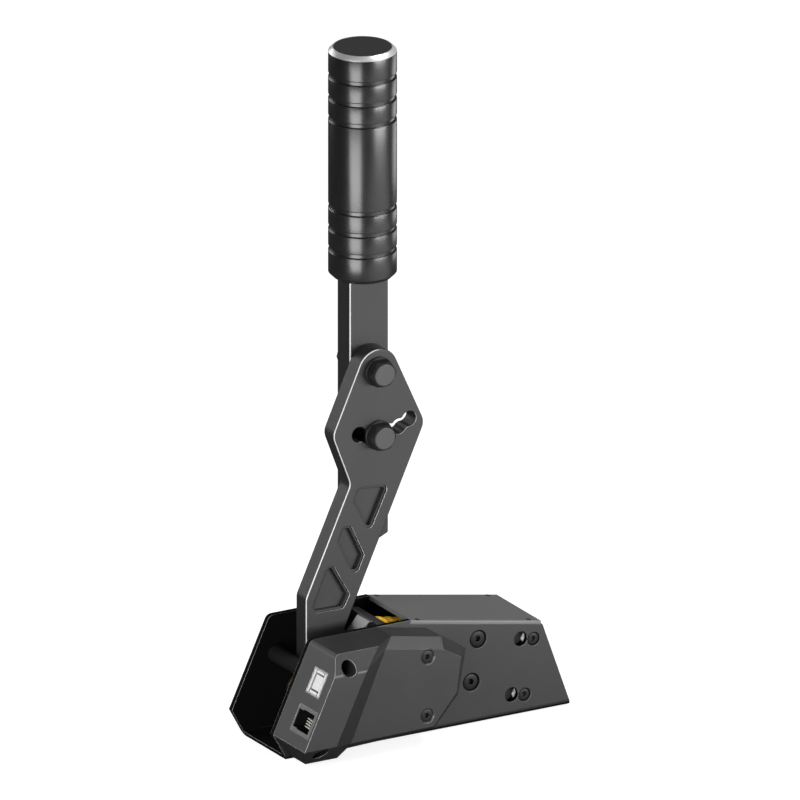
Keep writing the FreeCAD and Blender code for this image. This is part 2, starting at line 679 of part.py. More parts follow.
# Handle
def make_handle_bar():
    rise = BAR_WIDTH * tan(BAR_BOTTOM_SLANT)
    corners = [(BAR_FRONT_X, BAR_BOTTOM_Z - rise, 0), (BAR_REAR_X, BAR_BOTTOM_Z, SHARP_R),
               (BAR_REAR_X, BAR_TOP_Z, SHARP_R), (BAR_FRONT_X, BAR_TOP_Z, 0)]
    bar = slab(corner_face(corners), BAR_Y, BAR_Y + BAR_T)
    front_edges = [edge for edge in bar.Edges
                   if edge.BoundBox.XMax < BAR_FRONT_X + FIT and edge.BoundBox.ZLength > BAR_WIDTH]
    bar = bar.makeChamfer(BAR_EDGE_CHAMFER, front_edges)
    holes = [pin_y(x, z, CLAMP_R + FIT, 0, 2 * BAR_T) for x, z, _ in BOLT_SPOTS]
    bolt_tip = GRIP_TOP_Z - CAP_WELL_DEPTH - GRIP_BOLT_LENGTH
    holes.append(pin_z(BAR_MID_X, BAR_MID_Y, GRIP_BOLT_R + FIT, bolt_tip, BAR_TOP_Z + PAST))
    return bar.cut(holes)


def make_grip():
    r, base, top = GRIP_R, GRIP_BOTTOM_Z, GRIP_TOP_Z
    outline = [(0, base), (r - GRIP_BOTTOM_CHAMFER, base), (r, base + GRIP_BOTTOM_CHAMFER)]
    for height in sorted(GROOVE_HEIGHTS):
        low = height - GROOVE_WIDTH / 2
        high = height + GROOVE_WIDTH / 2
        outline += [(r, low - GROOVE_EDGE_R), (r - GROOVE_EDGE_R, low), (r - GROOVE_DEPTH, low),
                    (r - GROOVE_DEPTH, high), (r - GROOVE_EDGE_R, high), (r, high + GROOVE_EDGE_R)]
    outline += [(r, top - GRIP_TOP_CHAMFER), (r - GRIP_TOP_CHAMFER, top), (0, top)]
    grip = turned(outline, BAR_MID_X, BAR_MID_Y)
    room = Part.makeBox(BAR_WIDTH + 2 * FIT, BAR_T + 2 * FIT, BAR_TOP_Z + FIT - base + PAST,
                        vec(BAR_FRONT_X - FIT, BAR_Y - FIT, base - PAST))
    well = top - CAP_WELL_DEPTH
    cuts = [room, pin_z(BAR_MID_X, BAR_MID_Y, GRIP_BOLT_R + FIT, BAR_TOP_Z, top),
            pin_z(BAR_MID_X, BAR_MID_Y, GRIP_BOLT_HEAD_R + GAP, well, top),
            pin_z(BAR_MID_X, BAR_MID_Y, CAP_R + FIT, top - CAP_T, top + PAST)]
    return grip.cut(cuts)


def make_grip_bolt():
    well = GRIP_TOP_Z - CAP_WELL_DEPTH
    head = pin_z(BAR_MID_X, BAR_MID_Y, GRIP_BOLT_HEAD_R, well, well + GRIP_BOLT_HEAD_H)
    socket = hexagon(GRIP_BOLT_SOCKET, GRIP_BOLT_HEAD_H / 2, GRIP_BOLT_HEAD_H + PAST)
    socket.translate(vec(BAR_MID_X, BAR_MID_Y, well))
    shank = pin_z(BAR_MID_X, BAR_MID_Y, GRIP_BOLT_R, well - GRIP_BOLT_LENGTH + GAP, well)
    return head.fuse(shank).cut(socket)


def make_clamp_hardware():
    """The two bolts, four washers and two nuts that hold the bar to the lever."""
    near = -LEVER_T / 2
    far = BAR_Y + BAR_T
    bolts = []
    washers = []
    nuts = []
    for x, z, waist_r in BOLT_SPOTS:
        head = facing(hexagon(CLAMP_AF, CLAMP_WASHER_T, CLAMP_WASHER_T + CLAMP_HEAD_H), x, near, z, -1)
        head_top = CLAMP_WASHER_T + CLAMP_HEAD_H
        face_r = CLAMP_AF / 2 - SHARP_R / 2
        chamfer = turned([(0, 0), (CLAMP_AF, 0), (face_r, head_top), (0, head_top)], 0, 0)
        head = head.common(facing(chamfer, x, near, z, -1))
        tip = far + CLAMP_WASHER_T + CLAMP_NUT_H + CLAMP_THREAD_PROUD
        waist_end = LEVER_T / 2 + FIT
        shank = pin_y(x, z, CLAMP_R, waist_end, tip)
        waist = pin_y(x, z, waist_r, near - CLAMP_WASHER_T, waist_end)
        bolts.append(head.fuse([shank, waist]))
        for low in (near - CLAMP_WASHER_T, far):
            ring = pin_y(x, z, CLAMP_WASHER_R, low, low + CLAMP_WASHER_T)
            washers.append(ring.cut(pin_y(x, z, CLAMP_R + FIT, low - PAST, low + 2 * CLAMP_WASHER_T)))
        nut = facing(hexagon(CLAMP_AF, 0, CLAMP_NUT_H), x, far + CLAMP_WASHER_T, z, 1)
        nuts.append(nut.cut(pin_y(x, z, CLAMP_R + FIT, far, tip + PAST)))
    return bolts, washers, nuts


# Push rod group
def make_push_block():
    tip = BLOCK_S
    flank = tip + BLOCK_FLANK_LENGTH
    corners = rounded([(PLATE_S, -BLOCK_HALF_H), (PLATE_S, BLOCK_HALF_H), (flank, BLOCK_HALF_H),
                       (tip, BLOCK_TIP_H), (tip, -BLOCK_TIP_H), (flank, -BLOCK_HALF_H)], 0)
    block = slab(corner_face(corners), -BLOCK_WIDTH / 2, BLOCK_WIDTH / 2)
    spigot_end = PLATE_BACK_S - SPIGOT_LENGTH
    return on_slope(block.cut(rod_s(SPIGOT_R + FIT, spigot_end - FIT, PLATE_S + PAST)))


def make_spring_plate():
    corners = rounded([(PLATE_S, -PLATE_HALF_H), (PLATE_BACK_S, -PLATE_HALF_H),
                       (PLATE_BACK_S, PLATE_HALF_H), (PLATE_S, PLATE_HALF_H)], SHARP_R / 2)
    plate = slab(corner_face(corners), -PLATE_HALF_W, PLATE_HALF_W)
    return on_slope(plate.cut(rod_s(SPIGOT_R + FIT, PLATE_S - PAST, PLATE_BACK_S + PAST)))


def make_plunger_rod():
    spigot = rod_s(SPIGOT_R, PLATE_BACK_S - SPIGOT_LENGTH, PLATE_BACK_S)
    body = rod_s(ROD_R, PLATE_BACK_S, SHOULDER_S)
    thread = rod_s(THREAD_R, SHOULDER_S, ROD_END_S)
    return on_slope(fused([spigot, body, thread]))


def make_rod_washer():
    washer = rod_s(ROD_WASHER_R, SHOULDER_S, ROD_NUT_S)
    return on_slope(washer.cut(rod_s(THREAD_R + FIT, SHOULDER_S - PAST, ROD_NUT_S + PAST)))


def nut_on_axis(across_flats, s_from, height, bore_r):
    nut = hexagon(across_flats, 0, height)
    nut.rotate(ORIGIN, Y_AXIS, 90)
    nut.translate(vec(s_from, 0, 0))
    return on_slope(nut.cut(rod_s(bore_r + FIT, s_from - PAST, s_from + height + PAST)))


# Spring
def spring_station(turn):
    """Centre point and direction of the spring wire after a number of turns."""
    coil_r = SPRING_R - SPRING_WIRE_R
    lift = SPRING_LENGTH + 2 * (SPRING_END_SINK - SPRING_WIRE_R)
    open_pitch = (lift - 2 * SPRING_CLOSED_PITCH) / (SPRING_TURNS - 2)
    closed = min(turn, 1) + max(turn - SPRING_TURNS + 1, 0)
    s = SPRING_S - SPRING_END_SINK + SPRING_WIRE_R
    s += closed * SPRING_CLOSED_PITCH + (turn - closed) * open_pitch
    is_open = 1 < turn < SPRING_TURNS - 1
    pitch = open_pitch if is_open else SPRING_CLOSED_PITCH
    if turn in (1, SPRING_TURNS - 1):
        pitch = (open_pitch + SPRING_CLOSED_PITCH) / 2
    angle = 2 * math.pi * turn
    point = vec(s, coil_r * math.cos(angle), coil_r * math.sin(angle))
    around = 2 * math.pi * coil_r
    way = vec(pitch, -around * math.sin(angle), around * math.cos(angle))
    return point, way.normalize()


def arc_from(start, end, way, sign):
    """An arc between two points that leaves the first (sign 1) or reaches the second (-1) along a way."""
    chord = end - start
    along = FreeCAD.Vector(chord).normalize()
    off = (way - along * way.dot(along)) * sign
    bend = way.getAngle(along)
    middle = start + chord * 0.5 + off.normalize() * (chord.Length / 2 * math.tan(bend / 2))
    return Part.Arc(start, middle, end).toShape()


def spring_path():
    quarters = int(SPRING_TURNS * 4)
    edges = []
    for i in range(quarters):
        p0, t0 = spring_station(i / 4)
        p1, t1 = spring_station((i + 1) / 4)
        gap = p1 - p0
        both = t0 + t1
        turned_by = 2 * (1 - t0.dot(t1))
        reach = (-gap.dot(both) + math.sqrt(gap.dot(both) ** 2 + turned_by * gap.dot(gap))) / turned_by
        joint = (p0 + t0 * reach + p1 - t1 * reach) * 0.5
        edges.append(arc_from(p0, joint, t0, 1))
        edges.append(arc_from(joint, p1, t1, -1))
    return Part.Wire(edges)


def make_spring():
    path = spring_path()
    point, way = spring_station(0)
    ring = Part.Wire(Part.makeCircle(SPRING_WIRE_R, point, way))
    coil = path.makePipeShell([ring], True, False)
    room = 2 * SPRING_R
    ground = Part.makeBox(SPRING_LENGTH, 2 * room, 2 * room, vec(SPRING_S, -room, -room))
    return on_slope(coil.common(ground))


def spring_gap():
    """Least free gap between neighbouring curls, measured on points of the wire's centre line."""
    steps = 48
    count = int(SPRING_TURNS * steps)
    points = [spring_station(i / steps)[0] for i in range(count + 1)]
    least = min(points[i].distanceToPoint(points[j])
                for i in range(count + 1) for j in range(i + steps // 2, count + 1))
    return least - 2 * SPRING_WIRE_R


# Guide block, end block and stop
def make_guide_block():
    corners = rounded([(GUIDE_S, -GUIDE_HALF_H), (GUIDE_BACK_S, -GUIDE_HALF_H),
                       (GUIDE_BACK_S, GUIDE_HALF_H), (GUIDE_S, GUIDE_HALF_H)], SHARP_R)
    block = on_slope(slab(corner_face(corners), -INNER_Y, INNER_Y))
    cuts = [on_slope(rod_s(GUIDE_BUSH_R + FIT, GUIDE_S - PAST, GUIDE_BACK_S + PAST))]
    depth = SHEET + INNER_Y - GUIDE_SCREW_LENGTH - PAST
    for x, z in GUIDE_SCREW_PLACES:
        for ends in ((-INNER_Y - 1, -depth), (depth, INNER_Y + 1)):
            cuts.append(pin_y(x, z, M5_R + FIT, ends[0], ends[1]))
    return block.cut(cuts)


def make_guide_bush():
    bush = rod_s(GUIDE_BUSH_R, GUIDE_S, GUIDE_BACK_S)
    return on_slope(bush.cut(rod_s(ROD_R + RUNNING_FIT, GUIDE_S - PAST, GUIDE_BACK_S + PAST)))


def side_screws(places, shank_r, head_r, length, socket, sides=(-1, 1)):
    screw = flat_screw(shank_r, head_r, length, socket)
    return [facing(screw, x, side * OUTER_Y, z, side) for side in sides for x, z in places]


def make_end_block():
    corners = rounded([(END_BLOCK_S, END_BLOCK_BOTTOM), (END_BLOCK_BACK_S, END_BLOCK_BOTTOM),
                       (END_BLOCK_BACK_S, END_BLOCK_TOP), (END_BLOCK_S, END_BLOCK_TOP)], SHARP_R)
    block = on_slope(slab(corner_face(corners), -INNER_Y, INNER_Y))
    cuts = [on_slope(rod_s(STOP_SHANK_R + FIT, END_BLOCK_S - PAST, END_BLOCK_BACK_S + PAST))]
    depth = SHEET + INNER_Y - END_SCREW_LENGTH - PAST
    for x, z in END_SCREW_PLACES:
        for ends in ((-INNER_Y - 1, -depth), (depth, INNER_Y + 1)):
            cuts.append(pin_y(x, z, M4_R + FIT, ends[0], ends[1]))
    return block.cut(cuts)


def make_stop_screw():
    head = rod_s(PAD_R, STOP_HEAD_S, STOP_SHANK_S)
    shank = rod_s(STOP_SHANK_R, STOP_SHANK_S, STOP_SHANK_S + STOP_SHANK_LENGTH)
    return on_slope(head.fuse(shank))


def make_standoffs():
    posts = []
    for h in END_HEIGHTS:
        post = hexagon(STANDOFF_AF, STANDOFF_SHORT - 2 * INNER_Y, 0)
        post.rotate(ORIGIN, Z_AXIS, 30)
        post = facing(post, STANDOFF_S, INNER_Y, h, 1)
        bore_end = INNER_Y + SHEET - END_SCREW_LENGTH - PAST
        bore = pin_y(STANDOFF_S, h, M4_R + FIT, bore_end, INNER_Y + PAST)
        posts.append(on_slope(post.cut(bore)))
    return posts


def make_front_stop():
    x, z = STOP_PIN_X, STOP_PIN_Z
    pin = pin_y(x, z, STOP_PIN_R, -INNER_Y, INNER_Y)
    depth = SHEET + INNER_Y - STOP_PIN_SCREW_LENGTH - PAST
    pin = pin.cut([pin_y(x, z, M3_R + FIT, -INNER_Y - PAST, -depth),
                   pin_y(x, z, M3_R + FIT, depth, INNER_Y + PAST)])
    sleeve_y = INNER_Y - SLEEVE_SHORT
    sleeve = pin_y(x, z, SLEEVE_R, -sleeve_y, sleeve_y)
    return pin, sleeve.cut(pin_y(x, z, STOP_PIN_R + FIT, -INNER_Y, INNER_Y))


# Electronics housing: points are (x, outward, z)
def front_x(z, wall):
    """X of the housing's front at a height, inside a wall."""
    outline = inset([(HOUSING_FLOOR_X, HOUSING_FLOOR_Z), (BASE_LENGTH, HOUSING_FLOOR_Z),
                     (BASE_LENGTH, BASE_HEIGHT), housing_top_front(), (0, HOUSING_TIP_Z)], wall)
    foot, top, tip = outline[0], outline[3], outline[4]
    low, high = (foot, tip) if z < tip[1] else (tip, top)
    return low[0] + (high[0] - low[0]) * (z - low[1]) / (high[1] - low[1])


def housing_top_front():
    return ((BASE_HEIGHT - HOUSING_TIP_Z) * tan(FRONT_SLANT), BASE_HEIGHT)


def housing_form(wall):
    """The housing's closed outer form, or its inner form at a wall's depth with its back pushed out."""
    section = inset([(0, HOUSING_FLOOR_Z), (HOUSING_FLOOR_B, HOUSING_FLOOR_Z),
                     (HOUSING_DEPTH, HOUSING_TIP_Z), (HOUSING_DEPTH, HOUSING_KNEE_Z),
                     (HOUSING_SHOULDER_B, BASE_HEIGHT), (0, BASE_HEIGHT)], wall)
    back = -BACK_OPENING if wall else 0
    floor_z, top_z = section[1][1], section[4][1]
    tip_z = inset([(HOUSING_FLOOR_X, HOUSING_FLOOR_Z), (BASE_LENGTH, HOUSING_FLOOR_Z),
                   housing_top_front(), (0, HOUSING_TIP_Z)], wall)[3][1]
    bevel_share = (tip_z - floor_z) / (section[2][1] - floor_z)
    bevel_b = section[1][0] + (section[2][0] - section[1][0]) * bevel_share
    front = [vec(front_x(z, wall), b, z) for b, z in section[1:5]]
    rear = [vec(x - BAND_WALL_SHARE * wall, b, z) for x, (b, z) in zip(BAND_REAR_X, section[1:5])]
    rim = [vec(x, PANEL_RIM_B - wall, z) for x, z in inset(PANEL_RIM, wall)]
    face = [vec(x, PANEL_B - wall, z) for x, z in inset(PANEL_FACE, wall)]
    return front, rear, rim, face, back, floor_z, top_z, tip_z, bevel_b


def quad(a, b, c, d):
    """A face through four corners, flat or gently twisted."""
    return Part.makeRuledSurface(Part.makeLine(a, b), Part.makeLine(d, c))


def polygon_face(points):
    return Part.Face(Part.makePolygon(list(points) + [points[0]]))


def behind(point, back):
    return vec(point.x, back, point.z)


def housing_solid(wall):
    front, rear, rim, face, back, floor_z, top_z, tip_z, bevel_b = housing_form(wall)
    f4, f3, f2, f1 = front
    r0, r1, r2, r3 = rear
    top_rim = vec(rim[0].x, rim[0].y, top_z)
    rim = [top_rim] + rim[1:]
    tip_x = front_x(tip_z, wall)
    tip_back = vec(tip_x, back, tip_z)
    if abs(bevel_b - f3.y) < FIT:
        slant = [behind(f1, back), f1, f2, f3, tip_back]
        chin = [tip_back, f3, f4, behind(f4, back)]
        bevel = [f3, f4, r0, r1]
    else:
        tip_edge = vec(tip_x, bevel_b, tip_z)
        slant = [behind(f1, back), f1, f2, f3, tip_edge, tip_back]
        chin = [tip_back, tip_edge, f4, behind(f4, back)]
        bevel = [f3, tip_edge, f4, r0, r1]
    faces = [polygon_face(points) for points in (slant, chin, bevel)]
    faces.append(polygon_face([behind(f1, back), f1, r3, rim[0], behind(rim[0], back)]))
    faces.append(polygon_face([f1, f2, r2, r3]))
    faces.append(polygon_face([f2, f3, r1, r2]))
    faces.append(polygon_face([behind(f4, back), f4, r0, behind(r0, back)]))
    faces.append(quad(behind(r0, back), r0, rim[1], behind(rim[1], back)))
    faces.append(quad(r3, r2, face[0], rim[0]))
    faces.append(quad(r2, r1, face[1], face[0]))
    faces.append(quad(r1, r0, rim[1], face[1]))
    faces.append(polygon_face(face))
    count = len(rim)
    for i in range(count):
        j = (i + 1) % count
        if i == 0:
            continue
        faces.append(quad(rim[i], face[i], face[j], rim[j]))
        faces.append(quad(behind(rim[i], back), rim[i], rim[j], behind(rim[j], back)))
    outline = [behind(f1, back), tip_back, behind(f4, back), behind(r0, back)]
    outline += [behind(point, back) for point in rim[1:] + rim[:1]]
    faces.append(polygon_face(outline))
    shell = Part.makeShell(faces)
    shell.sewShape()
    solid = Part.makeSolid(Part.Shell(shell.Faces))
    if solid.Volume < 0:
        solid.reverse()
    mirrored = solid.mirror(ORIGIN, Y_AXIS)
    mirrored.translate(vec(0, -OUTER_Y, 0))
    return mirrored


def port_box(b_range, down_range, depth_range):
    """A box given outwards, down the slanted front and inwards from it."""
    box = Part.makeBox(depth_range[1] - depth_range[0], b_range[1] - b_range[0],
                       down_range[1] - down_range[0],
                       vec(depth_range[0], -b_range[1], -down_range[1]))
    return box


def at_front(shape):
    """A shape moved from the slanted front's own frame to the base's frame."""
    placed = shape.copy()
    placed.rotate(ORIGIN, Y_AXIS, FRONT_SLANT)
    top_x, top_z = housing_top_front()
    placed.translate(vec(top_x, -OUTER_Y, top_z))
    return placed


def grown(pair, by):
    return pair[0] - by, pair[1] + by


def make_housing():
    outer = housing_solid(0)
    edges = [edge for edge in outer.Edges if is_soft_edge(edge)]
    soft = outer.makeFillet(HOUSING_EDGE_R, edges)
    shell = soft.cut(housing_solid(HOUSING_WALL))
    posts = []
    cuts = []
    for x, z in PANEL_SCREWS:
        posts.append(pin_y(x, z, PANEL_BOSS_R, outward(PANEL_B), outward(0)))
        head = flat_screw(M4_R, PANEL_SCREW_HEAD_R, PANEL_B + SHEET, 0, FIT)
        cuts.append(facing(head, x, outward(PANEL_B), z, -1))
    for x, z in DEEP_SCREWS:
        posts.append(pin_y(x, z, DEEP_BOSS_R, outward(HOUSING_DEPTH), outward(0)).common(outer))
        cuts.append(pin_y(x, z, DEEP_HOLE_R, outward(2 * HOUSING_DEPTH), outward(DEEP_SEAT_B)))
        cuts.append(pin_y(x, z, M3_R + FIT, outward(HOUSING_DEPTH), outward(-PAST)))
    for b_range, down_range, depth in ((USB_B, USB_DOWN, USB_DEPTH), (JACK_B, JACK_DOWN, JACK_DEPTH)):
        port = port_box(grown(b_range, PORT_FIT), grown(down_range, PORT_FIT), (-PAST, depth))
        cuts.append(at_front(port))
    return shell.fuse(posts).cut(cuts)


def is_soft_edge(edge):
    """True on the edge over the slanted front and on the knee along the side."""
    first, last = edge.Vertexes[0].Point, edge.Vertexes[1].Point
    over_front = abs(first.x - last.x) < FIT and min(first.z, last.z) > BASE_HEIGHT - FIT
    over_front = over_front and max(first.x, last.x) < housing_top_front()[0] + FIT
    on_knee = max(abs(first.z - HOUSING_KNEE_Z), abs(last.z - HOUSING_KNEE_Z)) < FIT
    return over_front or on_knee


def make_panel_screws():
    length = PANEL_B + SHEET - SCREW_TIP_SHORT
    screw = flat_screw(M4_R, PANEL_SCREW_HEAD_R, length, M4_SOCKET)
    return [facing(screw, x, outward(PANEL_B), z, -1) for x, z in PANEL_SCREWS]


def make_deep_screws():
    screws = []
    for x, z in DEEP_SCREWS:
        head = pin_y(x, z, DEEP_HEAD_R, outward(DEEP_SEAT_B + DEEP_HEAD_H), outward(DEEP_SEAT_B))
        shank = pin_y(x, z, M3_R, outward(DEEP_SEAT_B), outward(-SHEET + SCREW_TIP_SHORT))
        socket = hexagon(M4_SOCKET, DEEP_HEAD_H / 2, DEEP_HEAD_H + PAST)
        socket = facing(socket, x, outward(DEEP_SEAT_B), z, -1)
        screws.append(head.fuse(shank).cut(socket))
    return screws


# Electronics
def make_circuit_board():
    outline = corner_face(rounded(BOARD_OUTLINE, BOARD_CORNER_R))
    board = slab(outline, outward(BOARD_B + BOARD_T), outward(BOARD_B))
    cuts = [pin_y(x, z, DEEP_BOSS_R + GAP, outward(2 * BOARD_B), outward(0)) for x, z in DEEP_SCREWS]
    cuts += [pin_y(x, z, M3_R + FIT, outward(2 * BOARD_B), outward(0)) for x, z in BOARD_SCREWS]
    return board.cut(cuts)


def make_board_spacers():
    posts = []
    for x, z in BOARD_SCREWS:
        post = pin_y(x, z, SPACER_POST_R, outward(BOARD_B), outward(0))
        posts.append(post.cut(pin_y(x, z, M3_R + FIT, outward(BOARD_B + PAST), outward(-PAST))))
    return posts


def make_board_screws():
    screws = []
    seat = BOARD_B + BOARD_T
    for x, z in BOARD_SCREWS:
        head = pin_y(x, z, PAN_HEAD_R, outward(seat + PAN_HEAD_H), outward(seat))
        shank = pin_y(x, z, M3_R, outward(seat), outward(-SHEET + SCREW_TIP_SHORT))
        screws.append(head.fuse(shank))
    return screws


def chip(x, z, size, b_from, b_to):
    return Part.makeBox(size, b_to - b_from, size, vec(x - size / 2, outward(b_to), z - size / 2))


# Ports
def make_usb():
    outer = port_box(USB_B, USB_DOWN, (0, USB_DEPTH))
    inner_b = grown(USB_B, -USB_SHELL_T)
    inner_down = grown(USB_DOWN, -USB_SHELL_T)
    shell = outer.cut(port_box(inner_b, inner_down, (-PAST, USB_DEPTH + PAST)))
    body = port_box(grown(inner_b, -FIT), grown(inner_down, -FIT), (0, USB_DEPTH))
    well_b, well_down = grown(inner_b, -USB_WALL), grown(inner_down, -USB_WALL)
    well = port_box(well_b, well_down, (-PAST, USB_RECESS))
    tongue_b, tongue_down = grown(well_b, -USB_WELL), grown(well_down, -USB_WELL)
    tongue = port_box(tongue_b, tongue_down, (USB_TONGUE_SHORT, USB_RECESS + PAST))
    return at_front(shell), at_front(body.cut(well.cut(tongue)))


def make_jack():
    body = port_box(JACK_B, JACK_DOWN, (0, JACK_DEPTH))
    room_b = JACK_B[0] + JACK_FRAME + JACK_LATCH_DEPTH, JACK_B[1] - JACK_FRAME
    room_down = grown(JACK_DOWN, -JACK_FRAME)
    middle = sum(JACK_DOWN) / 2
    latch = port_box((JACK_B[0] + JACK_LATCH_WALL, room_b[0] + PAST),
                     (middle - JACK_LATCH_WIDTH / 2, middle + JACK_LATCH_WIDTH / 2),
                     (-PAST, JACK_CAVITY_DEPTH))
    room = port_box(room_b, room_down, (-PAST, JACK_CAVITY_DEPTH))
    contacts = []
    for i in range(CONTACT_COUNT):
        down = middle + (i - (CONTACT_COUNT - 1) / 2) * CONTACT_PITCH
        near, far = room_b[1] - CONTACT_RISE, room_b[1]
        points = [vec(CONTACT_START, -far, 0), vec(JACK_CAVITY_DEPTH, -far, 0),
                  vec(JACK_CAVITY_DEPTH, -near, 0)]
        wire = polygon_face(points).extrude(vec(0, 0, CONTACT_WIDTH))
        wire.translate(vec(0, 0, -down - CONTACT_WIDTH / 2))
        contacts.append(at_front(wire))
    return at_front(body.cut([room, latch])), contacts


# Export
def save(name, shapes):
    """Write one node, a solid or a group of separate solids, in the finished frame."""
    solids = shapes if isinstance(shapes, (list, tuple)) else [shapes]
    loose = [solid for shape in solids for solid in shape.Solids]
    whole = loose[0] if len(loose) == 1 else Part.makeCompound(loose)
    placed = whole.copy()
    placed.translate(vec(-BASE_BOLT_MID_X, 0, 0))
    bad = [solid for solid in loose if not solid.isValid() or solid.Volume <= 0]
    print(name, len(loose), "solids", round(sum(solid.Volume for solid in loose)), "mm3",
          "NOT VALID" if bad else "")
    placed.exportStep("parts/%s.step" % name)


os.makedirs("parts", exist_ok=True)
save("chassis", make_chassis())
save("base_nuts", make_base_nuts())
save("top_cover", make_top_cover())
save("top_cover_screws", [on_slope(screw) for screw in cover_screws(COVER_SCREW_R, COVER_SCREW_LENGTH)])
pivot_shaft, sensor_magnet, circlips, pivot_bushes, pivot_spacers = make_pivot()
save("pivot_shaft", pivot_shaft)
save("sensor_magnet", sensor_magnet)
save("circlips", circlips)
save("pivot_bushes", pivot_bushes)
save("pivot_spacers", pivot_spacers)
save("lever_arm", make_lever_arm())
save("handle_bar", make_handle_bar())
save("grip_sleeve", make_grip())
save("grip_cap", pin_z(BAR_MID_X, BAR_MID_Y, CAP_R, GRIP_TOP_Z - CAP_T, GRIP_TOP_Z))
save("grip_bolt", make_grip_bolt())
clamp_bolts, bolt_washers, clamp_nuts = make_clamp_hardware()
save("clamp_bolts", clamp_bolts)
save("bolt_washers", bolt_washers)
save("clamp_nuts", clamp_nuts)
save("push_block", make_push_block())
save("spring_plate", make_spring_plate())
save("plunger_rod", make_plunger_rod())
save("rod_washer", make_rod_washer())
save("rod_nut", nut_on_axis(ROD_NUT_AF, ROD_NUT_S, ROD_NUT_H, THREAD_R))
print("least gap between curls", round(spring_gap(), 3), "mm")
save("spring", make_spring())
save("guide_block", make_guide_block())
save("guide_bush", make_guide_bush())
save("guide_screws", side_screws(GUIDE_SCREW_PLACES, M5_R, M5_HEAD_R, GUIDE_SCREW_LENGTH, M5_SOCKET))
save("end_block", make_end_block())
save("end_block_screws", side_screws(END_SCREW_PLACES, M4_R, M4_HEAD_R, END_SCREW_LENGTH, M4_SOCKET))
save("stop_screw", make_stop_screw())
save("stop_lock_nut", nut_on_axis(STOP_NUT_AF, END_BLOCK_BACK_S, STOP_NUT_H, STOP_SHANK_R))
save("bump_pad", on_slope(rod_s(PAD_R, PAD_S, STOP_HEAD_S)))
save("cross_standoffs", make_standoffs())
save("standoff_screws", side_screws(STANDOFF_PLACES, M4_R, M4_HEAD_R, END_SCREW_LENGTH, M4_SOCKET, (1,)))
front_stop_pin, stop_sleeve = make_front_stop()
save("front_stop_pin", front_stop_pin)
save("stop_sleeve", stop_sleeve)
stop_pin_ends = side_screws([(STOP_PIN_X, STOP_PIN_Z)], M3_R, M3_HEAD_R, STOP_PIN_SCREW_LENGTH, M3_SOCKET)
save("stop_pin_screws", stop_pin_ends)
save("electronics_housing", make_housing())
save("housing_panel_screws", make_panel_screws())
save("housing_deep_screws", make_deep_screws())
save("circuit_board", make_circuit_board())
save("board_spacers", make_board_spacers())
save("board_screws", make_board_screws())
save("angle_sensor", chip(PIVOT_X, PIVOT_Z, SENSOR_SIZE, BOARD_B - SENSOR_T, BOARD_B))
board_face = BOARD_B + BOARD_T
controller = chip(CONTROLLER_X, CONTROLLER_Z, CONTROLLER_SIZE, board_face, board_face + CONTROLLER_T)
save("controller_chip", controller)
usb_socket, usb_insulator = make_usb()
save("usb_socket", usb_socket)
save("usb_insulator", usb_insulator)
modular_jack, jack_contacts = make_jack()
save("modular_jack", modular_jack)
save("jack_contacts", jack_contacts)
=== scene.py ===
import math

import bmesh
import bpy
import numpy as np
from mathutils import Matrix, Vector


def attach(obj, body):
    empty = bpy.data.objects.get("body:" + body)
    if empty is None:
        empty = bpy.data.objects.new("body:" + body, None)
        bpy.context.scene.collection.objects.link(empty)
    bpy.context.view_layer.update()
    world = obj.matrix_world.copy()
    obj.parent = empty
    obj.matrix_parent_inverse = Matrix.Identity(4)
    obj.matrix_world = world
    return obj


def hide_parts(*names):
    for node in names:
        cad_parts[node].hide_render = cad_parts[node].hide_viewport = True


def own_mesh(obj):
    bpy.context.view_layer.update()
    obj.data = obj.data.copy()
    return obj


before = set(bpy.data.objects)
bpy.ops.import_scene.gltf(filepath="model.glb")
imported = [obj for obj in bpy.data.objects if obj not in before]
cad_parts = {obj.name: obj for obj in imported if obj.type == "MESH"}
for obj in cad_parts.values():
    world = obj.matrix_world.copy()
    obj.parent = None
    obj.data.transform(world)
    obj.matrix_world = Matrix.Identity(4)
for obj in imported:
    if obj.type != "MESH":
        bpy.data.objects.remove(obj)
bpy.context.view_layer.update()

bpy.context.scene.view_settings.view_transform = "Standard"

# Camera: it sees the handbrake without perspective, turned thirty degrees to its left and
# looking down on it by twenty.
camera_turn = math.radians(-30)
camera_drop = math.radians(20)
camera_distance = 3.0
view_width = 0.4053
view_centre = Vector((-0.00386, 0, 0.17326))

camera_back = Vector((math.sin(camera_turn) * math.cos(camera_drop),
                      -math.cos(camera_turn) * math.cos(camera_drop), math.sin(camera_drop)))
camera_data = bpy.data.cameras.new("photo_camera")
camera_data.type = "ORTHO"
camera_data.ortho_scale = view_width
camera = bpy.data.objects.new("photo_camera", camera_data)
camera.location = view_centre + camera_back * camera_distance
camera.rotation_euler = (-camera_back).to_track_quat("-Z", "Y").to_euler()
bpy.context.scene.collection.objects.link(camera)
bpy.context.scene.camera = camera

# Studio: a wide white floor that keeps a soft shadow, a dim even room, a broad low soft box on
# the near side, one overhead, one in front and three on the far side, and a strip on each side
# that the grip mirrors. Mirrors see the floor glow only in a round patch beside the near side.


def soft_box(name, towards, distance, size, power, aim=(0, 0, 0.15)):
    """A rectangular lamp in a direction from the handbrake, turned to face it and not seen itself."""
    lamp = bpy.data.lights.new(name, "AREA")
    lamp.shape = "RECTANGLE"
    lamp.size, lamp.size_y = size
    lamp.energy = power
    holder = bpy.data.objects.new(name, lamp)
    way = Vector(towards).normalized()
    holder.location = Vector(aim) + way * distance
    holder.rotation_euler = (-way).to_track_quat("-Z", "Y").to_euler()
    holder.visible_camera = False
    bpy.context.scene.collection.objects.link(holder)


